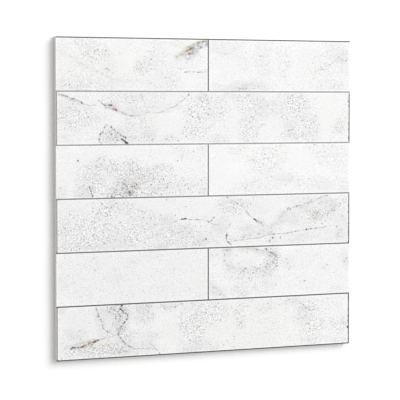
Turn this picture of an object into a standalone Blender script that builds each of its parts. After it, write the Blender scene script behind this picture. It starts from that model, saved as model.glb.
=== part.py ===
# A mosaic wall tile of foamed PVC board, one piece, lying on its back with its face up.
# X runs along the courses and Y across them, Z is up, and the origin is the middle of the back.
# The face carries a brick pattern: courses of two half tiles alternate with courses of one whole
# tile, and a shallow joint is pressed between them and along the edges that close a tile.

import bmesh
import bpy
from mathutils import Vector

# The board, in metres
PANEL_WIDTH = 0.300
PANEL_HEIGHT = 0.300
PANEL_THICKNESS = 0.008
EDGE_ARRIS = 0.0003

# The brick pattern of its face
COURSES = 6
JOINT_WIDTH = 0.0010
JOINT_DEPTH = 0.0004
JOINT_DRAFT = 0.00015

# The face's colour and finish
FACE_COLOUR = (0.896, 0.896, 0.888, 1.0)
FACE_ROUGHNESS = 0.42

# What follows from the sizes above
HALF_WIDTH = PANEL_WIDTH / 2
HALF_HEIGHT = PANEL_HEIGHT / 2
HALF_JOINT = JOINT_WIDTH / 2
JOINT_FLOOR = PANEL_THICKNESS - JOINT_DEPTH
COURSE_PITCH = (PANEL_HEIGHT - JOINT_WIDTH) / COURSES

# Two coordinates nearer than this are the same, and a face this level looks straight up
SAME_PLACE = 1e-6
LEVEL = 0.99


def clear_scene():
    for item in list(bpy.data.objects):
        bpy.data.objects.remove(item, do_unlink=True)


# Every tile of the face as (left, right, low, high), course by course from the top edge.
# A half tile runs out to the board's side, and a whole tile ends in a joint there.
def tile_fields():
    fields = []
    for course in range(COURSES):
        high = HALF_HEIGHT - JOINT_WIDTH - course * COURSE_PITCH
        low = high - COURSE_PITCH + JOINT_WIDTH
        if course % 2 == 0:
            fields.append((-HALF_WIDTH, -HALF_JOINT, low, high))
            fields.append((HALF_JOINT, HALF_WIDTH, low, high))
        else:
            fields.append((JOINT_WIDTH - HALF_WIDTH, HALF_WIDTH - JOINT_WIDTH, low, high))
    return fields


# The board up to the floor of the joints.
def add_board(bm):
    box = bmesh.ops.create_cube(bm, size=1.0)
    bmesh.ops.scale(bm, vec=(PANEL_WIDTH, PANEL_HEIGHT, JOINT_FLOOR), verts=box["verts"])
    bmesh.ops.translate(bm, vec=(0, 0, JOINT_FLOOR / 2), verts=box["verts"])


def faces_looking_up(bm):
    bm.normal_update()
    return [face for face in bm.faces if face.normal.z > LEVEL]


# Cuts the top face along one line, square to the given axis.
def cut_top(bm, axis, place):
    faces = faces_looking_up(bm)
    edges = {edge for face in faces for edge in face.edges}
    verts = {vert for face in faces for vert in face.verts}
    bmesh.ops.bisect_plane(
        bm,
        geom=list(verts) + list(edges) + faces,
        dist=SAME_PLACE,
        plane_co=axis * place,
        plane_no=axis,
    )


# Marks the outline of every tile on the top face.
def cut_outlines(bm, fields):
    across = {side for field in fields for side in field[:2] if abs(side) < HALF_WIDTH}
    along = {side for field in fields for side in field[2:]}
    for place in sorted(across):
        cut_top(bm, Vector((1, 0, 0)), place)
    for place in sorted(along):
        cut_top(bm, Vector((0, 1, 0)), place)


def lies_in(face, field):
    left, right, low, high = field
    middle = face.calc_center_median()
    return left < middle.x < right and low < middle.y < high


# A tile's face is smaller than its foot by the draft of the joints, and flush at the board's side.
def drafted(place, low_side, high_side, board_side):
    if abs(place) > board_side - SAME_PLACE:
        return place
    if place < (low_side + high_side) / 2:
        return place + JOINT_DRAFT
    return place - JOINT_DRAFT


# Raises one tile above the joints around it.
def raise_tile(bm, field):
    left, right, low, high = field
    faces = [face for face in faces_looking_up(bm) if lies_in(face, field)]
    if len(faces) > 1:
        faces = bmesh.ops.dissolve_faces(bm, faces=faces, use_verts=False)["region"]
    raised = bmesh.ops.extrude_face_region(bm, geom=faces)["geom"]
    bmesh.ops.delete(bm, geom=faces, context="FACES_ONLY")
    for vert in raised:
        if isinstance(vert, bmesh.types.BMVert):
            vert.co.x = drafted(vert.co.x, left, right, HALF_WIDTH)
            vert.co.y = drafted(vert.co.y, low, high, HALF_HEIGHT)
            vert.co.z = PANEL_THICKNESS


def at_corner(vert):
    on_side = abs(abs(vert.co.x) - HALF_WIDTH) < SAME_PLACE
    return on_side and abs(abs(vert.co.y) - HALF_HEIGHT) < SAME_PLACE


# Breaks the sharp edges round the back and at the four corners of the board.
def break_edges(bm):
    outer = []
    for edge in bm.edges:
        first, second = edge.verts
        back = first.co.z < SAME_PLACE and second.co.z < SAME_PLACE
        upright = (first.co.xy - second.co.xy).length < SAME_PLACE
        if back or (upright and at_corner(first)):
            outer.append(edge)
    bmesh.ops.bevel(bm, geom=outer, offset=EDGE_ARRIS, segments=1, affect="EDGES")


def pvc_material():
    material = bpy.data.materials.new("printed_pvc")
    material.use_nodes = True
    shader = material.node_tree.nodes["Principled BSDF"]
    shader.inputs["Base Color"].default_value = FACE_COLOUR
    shader.inputs["Roughness"].default_value = FACE_ROUGHNESS
    shader.inputs["Metallic"].default_value = 0.0
    return material


def add_tile_panel():
    bm = bmesh.new()
    fields = tile_fields()
    add_board(bm)
    cut_outlines(bm, fields)
    for field in fields:
        raise_tile(bm, field)
    break_edges(bm)
    bmesh.ops.recalc_face_normals(bm, faces=bm.faces)
    mesh = bpy.data.meshes.new("tile_panel")
    bm.to_mesh(mesh)
    bm.free()
    mesh.materials.append(pvc_material())
    panel = bpy.data.objects.new("tile_panel", mesh)
    bpy.context.scene.collection.objects.link(panel)


clear_scene()
add_tile_panel()
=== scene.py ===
# A square wall tile of foamed PVC board, faced with a film printed as white marble bricks.
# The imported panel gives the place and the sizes. Its face is modelled again here, finely enough to
# carry the print, and the tile lies on a pale studio floor with the camera looking down on it.
import math

import bmesh
import bpy
import numpy as np
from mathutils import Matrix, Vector, noise


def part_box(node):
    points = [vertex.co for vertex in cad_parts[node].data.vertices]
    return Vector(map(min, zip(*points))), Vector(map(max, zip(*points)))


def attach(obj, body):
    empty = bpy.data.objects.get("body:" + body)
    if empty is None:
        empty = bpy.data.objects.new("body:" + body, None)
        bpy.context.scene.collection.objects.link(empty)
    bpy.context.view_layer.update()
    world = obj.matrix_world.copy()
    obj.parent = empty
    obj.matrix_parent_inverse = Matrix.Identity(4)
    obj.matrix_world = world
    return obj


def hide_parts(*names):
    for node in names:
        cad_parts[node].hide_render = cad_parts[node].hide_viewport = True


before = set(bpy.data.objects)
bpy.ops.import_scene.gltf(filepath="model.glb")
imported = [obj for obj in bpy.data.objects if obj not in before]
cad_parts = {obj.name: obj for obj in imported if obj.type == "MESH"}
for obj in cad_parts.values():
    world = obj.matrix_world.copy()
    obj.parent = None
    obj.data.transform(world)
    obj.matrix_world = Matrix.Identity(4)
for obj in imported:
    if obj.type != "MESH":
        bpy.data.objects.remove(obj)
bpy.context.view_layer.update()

panelLow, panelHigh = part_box("tile_panel")
mm = 0.001
print("frame loaded, the panel is", [round(side / mm, 2) for side in panelHigh - panelLow], "mm")

# The face as it is pressed, and how finely it is meshed to hold the print
panel = {
    "courses": 6,
    "jointWidth": 1.0 * mm,
    "jointDepth": 0.4 * mm,
    "jointDraft": 0.15 * mm,
    "edgeArris": 0.3 * mm,
    "cellsAlongHalf": 138,    # cells from a side joint to the middle joint
    "cellsPerCourse": 46,
    "creaseAngle": 12,        # degrees, sharper edges are shaded sharp
}

samePlace = 0.01 * mm
halfWidth = (panelHigh.x - panelLow.x) / 2
halfHeight = (panelHigh.y - panelLow.y) / 2
top = panelHigh.z
jointMouth = panel["jointWidth"] / 2 + panel["jointDraft"]      # from a joint's middle to the face
coursePitch = (2 * halfHeight - panel["jointWidth"]) / panel["courses"]
topJoint = halfHeight - panel["jointWidth"] / 2
jointHeights = [topJoint - number * coursePitch for number in range(panel["courses"] + 1)]


def startEditing(piece, mode):
    bpy.ops.object.select_all(action="DESELECT")
    bpy.context.view_layer.objects.active = piece
    piece.select_set(True)
    bpy.ops.object.mode_set(mode="EDIT")
    bpy.ops.mesh.select_mode(type=mode)
    bpy.ops.mesh.select_all(action="DESELECT")


# Selects the faces, edges or vertices that the test picks, in edit mode.
def pick(piece, part, test):
    mesh = bmesh.from_edit_mesh(piece.data)
    mesh.normal_update()
    for item in getattr(mesh, part):
        item.select_set(bool(test(item)))
    mesh.select_flush_mode()
    bmesh.update_edit_mesh(piece.data)


# The grid's lines across the panel: joints keep a row of their own, with even cells between them.
def linesAcross():
    side = halfWidth - panel["jointWidth"] - panel["jointDraft"]
    leftHalf = np.linspace(-side, -jointMouth, panel["cellsAlongHalf"] + 1)
    return [-halfWidth, *leftHalf, *(-leftHalf[::-1]), halfWidth]


def linesUp():
    lines = [-halfHeight]
    for low, high in zip(jointHeights[:0:-1], jointHeights[-2::-1]):
        lines.extend(np.linspace(low + jointMouth, high - jointMouth, panel["cellsPerCourse"] + 1))
    return [*lines, halfHeight]


def pointPlaces(piece):
    places = np.empty(len(piece.data.vertices) * 3)
    piece.data.vertices.foreach_get("co", places)
    return places.reshape(-1, 3)


# Moves every row and column of the even grid on to the lines worked out above.
def spreadLines(piece, across, up):
    places = pointPlaces(piece)
    evenX = np.linspace(-halfWidth, halfWidth, len(across))
    evenY = np.linspace(-halfHeight, halfHeight, len(up))
    places[:, 0] = np.interp(places[:, 0], evenX, across)
    places[:, 1] = np.interp(places[:, 1], evenY, up)
    piece.data.vertices.foreach_set("co", places.ravel())
    piece.data.update()


# 0 for the top course. The odd ones after it are whole bricks, with a joint at each end.
def courseOf(y):
    return min(panel["courses"] - 1, max(0, int((jointHeights[0] - y) // coursePitch)))


def inJoint(face):
    middle = face.calc_center_median()
    if min(abs(middle.y - height) for height in jointHeights) < jointMouth:
        return True
    if courseOf(middle.y) % 2 == 0:
        return abs(middle.x) < jointMouth
    return abs(middle.x) > halfWidth - panel["jointWidth"] - panel["jointDraft"]


def pressJoints(piece):
    startEditing(piece, "FACE")
    pick(piece, "faces", inJoint)
    bpy.ops.mesh.inset(
        thickness=panel["jointDraft"],
        depth=-panel["jointDepth"],
        use_boundary=False,
        use_even_offset=True,
    )
    bpy.ops.object.mode_set(mode="OBJECT")


# Draws the rim straight down to the back, levels it there and closes it.
def drawDownSides(piece):
    startEditing(piece, "EDGE")
    pick(piece, "edges", lambda edge: edge.is_boundary)
    bpy.ops.mesh.extrude_region_move(TRANSFORM_OT_translate={"value": (0, 0, -top)})
    bpy.ops.transform.resize(value=(1, 1, 0), center_override=(0, 0, 0))
    bpy.ops.mesh.edge_face_add()
    bpy.ops.object.mode_set(mode="OBJECT")


def onBackRim(edge):
    first, second = edge.verts
    low = max(first.co.z, second.co.z) < samePlace
    return low and any(abs(face.normal.z) < 0.5 for face in edge.link_faces)


def onCorner(edge):
    first, second = edge.verts
    upright = (first.co.xy - second.co.xy).length < samePlace
    outermost = abs(first.co.x) > halfWidth - samePlace and abs(first.co.y) > halfHeight - samePlace
    return upright and outermost


def breakEdges(piece):
    startEditing(piece, "EDGE")
    pick(piece, "edges", lambda edge: onBackRim(edge) or onCorner(edge))
    bpy.ops.mesh.bevel(offset=panel["edgeArris"], segments=1, affect="EDGES")
    bpy.ops.mesh.select_all(action="SELECT")
    bpy.ops.mesh.normals_make_consistent(inside=False)
    bpy.ops.object.mode_set(mode="OBJECT")


def modelTile():
    across, up = linesAcross(), linesUp()
    bpy.ops.object.select_all(action="DESELECT")
    bpy.ops.mesh.primitive_grid_add(
        x_subdivisions=len(across) - 1,
        y_subdivisions=len(up) - 1,
        size=2 * halfWidth,
        location=(0, 0, top),
    )
    piece = bpy.context.object
    piece.name = "printed_tile"
    piece.data.name = "printed_tile"
    bpy.ops.object.transform_apply(location=True, rotation=True, scale=True)
    spreadLines(piece, across, up)
    pressJoints(piece)
    drawDownSides(piece)
    breakEdges(piece)
    bpy.ops.object.shade_smooth_by_angle(angle=math.radians(panel["creaseAngle"]))
    print("tile modelled,", len(piece.data.polygons), "faces")
    return piece


# Full-strength inks of the marble print
inks = {
    "black": "#2e2b30",
    "violet": "#38243c",
    "slate": "#70707a",
    "grey": "#7e7d80",
    "lilac": "#a69db2",
    "purple": "#66566a",
    "iris": "#8a76b8",
    "brown": "#766449",
    "rust": "#ab8650",
    "tan": "#cbb896",
    "ochre": "#c2ab5e",
    "olive": "#b3b19a",
    "pink": "#cbb2ae",
    "cream": "#f6efd8",
}

# The print of each brick, named by course from the top edge. Places and widths are millimetres, from
# the middle of the panel, X to the right and Y up, and shades, greys and strengths are percent.
# shade: the grey all over the brick, the print's own tone, also set per brick to even out how the light
# falls off across the panel, so partly painted shade
# clouds: (grey, grain, x, y, half width, half height), where a grey below 0 is lighter
# calms, smooth patches with less grain: (strength, x, y, half width, half height)
# tints: (ink, strength, x, y, half width, half height)
# veins: (ink, strength, width, places along it)
# dots: (ink, strength, width, places)
marble = {}

marble["first left"] = {
    "shade": 1.7,
    "clouds": [
        (-1.5, 0, -114, 104, 6, 4), (1.6, 25, -5, 115, 5, 4), (1.4, 30, -99, 128, 5, 8),
        (1.4, 45, -128, 104, 10, 4), (1.2, 60, -64, 126, 6, 6), (1.3, 35, -36, 121, 7, 6),
        (1.1, 50, -138, 114, 7, 5), (1.1, 40, -58, 104, 7, 5), (1.0, 25, -90, 104, 6, 5),
        (1.0, 45, -112, 114, 6, 5), (-1.5, 0, -104, 146, 7, 4), (-1.0, 0, -76, 130, 6, 7),
        (2.2, 40, -146, 104, 6, 6), (1.9, 40, -102, 104, 9, 6), (2.1, 45, -29, 131, 6, 6),
        (1.9, 40, -33, 146, 7, 5), (1.8, 50, -54, 132, 6, 7), (1.7, 45, -128, 146, 8, 5),
        (1.4, 20, -4, 104, 8, 5), (1.4, 40, -100, 118, 7, 6), (1.2, 30, -50, 146, 8, 5),
        (1.0, 30, -146, 138, 6, 8), (1.0, 40, -118, 124, 26, 22), (1.7, 60, -113, 136, 15, 10),
        (2.2, 55, -126, 105, 22, 6), (1.2, 15, -84, 108, 18, 8), (1.7, 75, -67, 122, 8, 9),
        (1.9, 29, -46, 110, 16, 10), (1.7, 50, -52, 130, 15, 14), (1.2, 50, -37, 108, 10, 8),
        (1.3, 29, -24, 124, 12, 8),
    ],
    "calms": [
        (60, -86, 133, 12, 14), (45, -17, 109, 13, 6), (30, -38, 133, 7, 14),
    ],
    "tints": [
        ("cream", 5, -86, 133, 14, 16), ("cream", 5, -90, 108, 30, 6),
        ("cream", 3, -100, 125, 50, 26), ("pink", 6, -70, 124, 6, 7), ("lilac", 4, -67, 120, 6, 6),
        ("lilac", 4, -15, 134, 10, 5), ("tan", 8, -20, 141, 9, 5), ("tan", 5, -29, 133, 5, 4),
    ],
    "veins": [
        ("tan", 13, 2.5, [(-151, 137), (-146, 136), (-138, 133), (-128, 126), (-120, 122)]),
        ("tan", 16, 2.2, [(-120, 122), (-112, 118), (-105, 116), (-100, 113), (-96, 110.5)]),
        ("tan", 7, 2.5, [(-96, 110.5), (-88, 110), (-74, 109.5), (-60, 109)]),
        ("olive", 48, 1.6, [(-103.5, 121), (-100.5, 120.5), (-98, 118.5)]),
        ("tan", 22, 2.6, [(-33, 131), (-30, 134), (-26, 136), (-22, 139)]),
        ("rust", 32, 3.0, [(-26, 136), (-22, 138.2), (-18, 140.6)]),
        ("olive", 26, 3.2, [(-19, 141.5), (-13, 145), (-7, 147)]),
        ("slate", 28, 3.6, [(-20.5, 134.5), (-16, 138), (-11, 141.5)]),
        ("purple", 30, 2.6, [(-17, 140), (-13.5, 142), (-11, 143)]),
        ("olive", 42, 1.7, [(-23, 141), (-16, 144), (-11, 146), (-5, 147.5), (-1, 148)]),
        ("tan", 24, 2.2, [(-12, 145), (-6, 146.5), (-1, 147.5)]),
        ("brown", 40, 1.8, [(-22.5, 137.8), (-18, 140.2)]),
        ("violet", 28, 1.5, [(-20, 135.2), (-17.5, 135.6), (-14, 136.4)]),
        ("purple", 44, 1.3, [(-14, 137.2), (-11, 139.5), (-7.5, 141.5)]),
        ("lilac", 26, 3.0, [(-21, 130.5), (-17, 132.5), (-12, 137), (-7, 141), (-2, 144.5)]),
        ("purple", 40, 1.2, [
            (-24, 118), (-20, 118.5), (-16, 118.5), (-10, 118), (-3, 118.5), (-1, 118),
        ]),
        ("tan", 34, 1.6, [(-4.5, 120.2), (-1, 120.5)]),
        ("olive", 18, 3.0, [(-8, 145), (-4, 146.5), (-1, 147.5)]),
        ("lilac", 30, 2.6, [(-7, 142.5), (-1, 145)]),
    ],
    "dots": [
        ("violet", 46, 1.5, [(-17.5, 139.5), (-13, 142), (-11.7, 138.7), (-15.5, 138)]),
        ("rust", 55, 1.5, [
            (-23, 139.5), (-19.5, 141.5), (-15.5, 144), (-24, 136.5), (-28, 134.5), (-31.5, 132),
        ]),
        ("lilac", 60, 1.4, [
            (-24, 132.5), (-20, 131), (-17.5, 134.5), (-14.5, 133.5), (-11, 137.5), (-13, 140),
        ]),
        ("iris", 50, 1.6, [
            (-16, 135), (-12.5, 138.5), (-19, 133), (-9, 142), (-22.5, 131.5), (-62, 118),
        ]),
        ("ochre", 45, 1.6, [
            (-21.5, 139.8), (-17.5, 143.3), (-25.5, 137), (-12, 146), (-95, 117), (-88, 135),
        ]),
        ("violet", 56, 1.5, [(-19.5, 138.8), (-18.5, 135.2), (-14, 136.2), (-43, 112.7)]),
        ("brown", 60, 1.6, [
            (-17, 140), (-13.5, 142.5), (-23.5, 134.5), (-25.5, 135), (-11, 144.5),
        ]),
        ("purple", 50, 1.4, [
            (-23, 118), (-8, 141), (-4, 144), (-18, 132), (-21, 129.5), (-25.5, 134.5), (-22, 127),
            (-26, 140.5),
        ]),
        ("grey", 75, 1.5, [(-112.5, 137), (-110, 138), (-137, 105.5), (-57.5, 130), (-102, 137.5)]),
        ("grey", 45, 1.2, [
            (-101.5, 137.5), (-99, 133.5), (-113.5, 146), (-118.5, 133.5), (-116, 126.5),
            (-105.5, 134), (-141, 105.5), (-124, 104.5), (-58.5, 107.5), (-48.5, 104), (-67.5, 119),
            (-57.5, 121), (-57.5, 130), (-64, 132.5), (-28, 120.8),
        ]),
        ("grey", 28, 1.2, [
            (-47, 112.5), (-53, 105), (-33, 115.5), (-33.5, 103.5), (-126, 108), (-128, 113),
            (-120, 148), (-107, 129), (-124, 134), (-115, 131), (-130, 143), (-104, 125),
            (-92, 126), (-38, 106), (-35, 109), (-61, 112), (-50, 128), (-55, 141),
        ]),
        ("tan", 50, 1.9, [(-71, 128), (-151, 127.5)]),
        ("slate", 42, 1.4, [
            (-18.5, 137), (-12, 141), (-9, 140.9), (-9.5, 143.5), (-5.5, 145.5), (-3, 147.5),
        ]),
        ("lilac", 40, 1.3, [(-72, 124), (-70, 121), (-67, 125), (-66, 122), (-69, 127)]),
    ],
}

marble["first right"] = {
    "shade": 2.3,
    "clouds": [
        (1.2, 40, 124, 137, 6, 5), (1.9, 45, 44, 103, 7, 4), (1.6, 45, 132, 132, 6, 5),
        (-1.4, 0, 4, 115, 5, 9), (-1.1, 0, 88, 146, 7, 4), (2.8, 50, 145, 133, 5, 6),
        (2.1, 45, 138, 104, 9, 5), (1.7, 45, 57, 104, 8, 5), (1.2, 40, 14, 104, 9, 5),
        (1.9, 45, 131, 146, 12, 4), (1.6, 40, 115, 132, 6, 6), (1.9, 31, 16, 142, 18, 7),
        (1.9, 42, 57, 132, 9, 18), (1.2, 45, 78, 126, 8, 16), (2.2, 50, 38, 104, 26, 6),
        (1.2, 50, 132, 121, 21, 11), (1.9, 50, 138, 136, 11, 7), (1.3, 31, 124, 106, 18, 6),
        (0.9, 18, 100, 128, 10, 14), (0.9, 21, 34, 128, 8, 10),
    ],
    "calms": [
        (40, 15, 122, 11, 10), (40, 97, 130, 11, 17),
    ],
    "tints": [
        ("pink", 11, 34, 103, 9, 4), ("lilac", 9, 26, 107, 6, 5), ("olive", 9, 37, 107, 5, 3),
        ("grey", 3, 51, 107, 9, 5), ("cream", 7, 15, 143, 10, 6), ("olive", 8, 139, 139, 5, 4),
        ("pink", 5, 138, 131, 8, 4), ("cream", 9, 111, 117, 4, 7), ("cream", 7, 125, 124, 8, 4),
    ],
    "veins": [
        ("grey", 10, 1.4, [
            (2.5, 138.5), (11, 137), (20, 135.5), (24, 137.5), (29, 141.5), (33, 143.5),
        ]),
        ("rust", 21, 1.4, [(31, 103), (35, 102.5), (39, 103)]),
        ("tan", 10, 1.7, [(110, 112), (111.5, 116), (113, 120)]),
        ("pink", 16, 1.7, [(113, 120), (116, 121.5), (119, 122)]),
        ("olive", 29, 1.2, [(118, 122), (122, 122), (126.5, 122.3)]),
        ("tan", 13, 1.7, [(118, 124), (124, 125.5), (129, 127)]),
        ("lilac", 18, 1.6, [(127, 125.5), (132, 128.5), (136, 132), (139, 134)]),
        ("pink", 13, 1.6, [(139, 131), (143, 131.5), (146, 130.5)]),
    ],
    "dots": [
        ("black", 78, 1.5, [(145.8, 130.2)]),
        ("grey", 50, 1.4, [
            (53.5, 134), (138.5, 103.3), (138, 134), (39, 103), (147, 132.5), (78, 119.5),
        ]),
        ("grey", 30, 1.4, [
            (61, 134), (32.5, 131.5), (63.5, 127.5), (71.5, 137.5), (81, 140.5), (52, 119),
            (59, 121), (80.5, 114.5), (81, 112), (51, 142), (132.5, 104.3), (118.5, 105.5),
            (109.8, 105.5), (88.5, 102.5), (118.5, 135), (118.5, 129), (40.5, 106), (109, 128),
            (71, 142), (84, 129),
        ]),
        ("grey", 16, 1.4, [
            (18, 139), (13, 137), (20, 135.5), (38, 131.5), (66, 131), (56, 129), (46, 126),
            (75, 134), (80, 136), (58, 117), (62, 119), (76, 115), (85, 117), (104, 127),
            (113, 134), (130, 136), (128, 141), (144, 141), (120, 103), (126, 108), (134, 108),
            (12, 105), (18, 106), (44, 103), (52, 104), (58, 105),
        ]),
        ("brown", 30, 1.4, [(32.5, 102.8), (36, 102.5), (39.5, 103)]),
    ],
}

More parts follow.
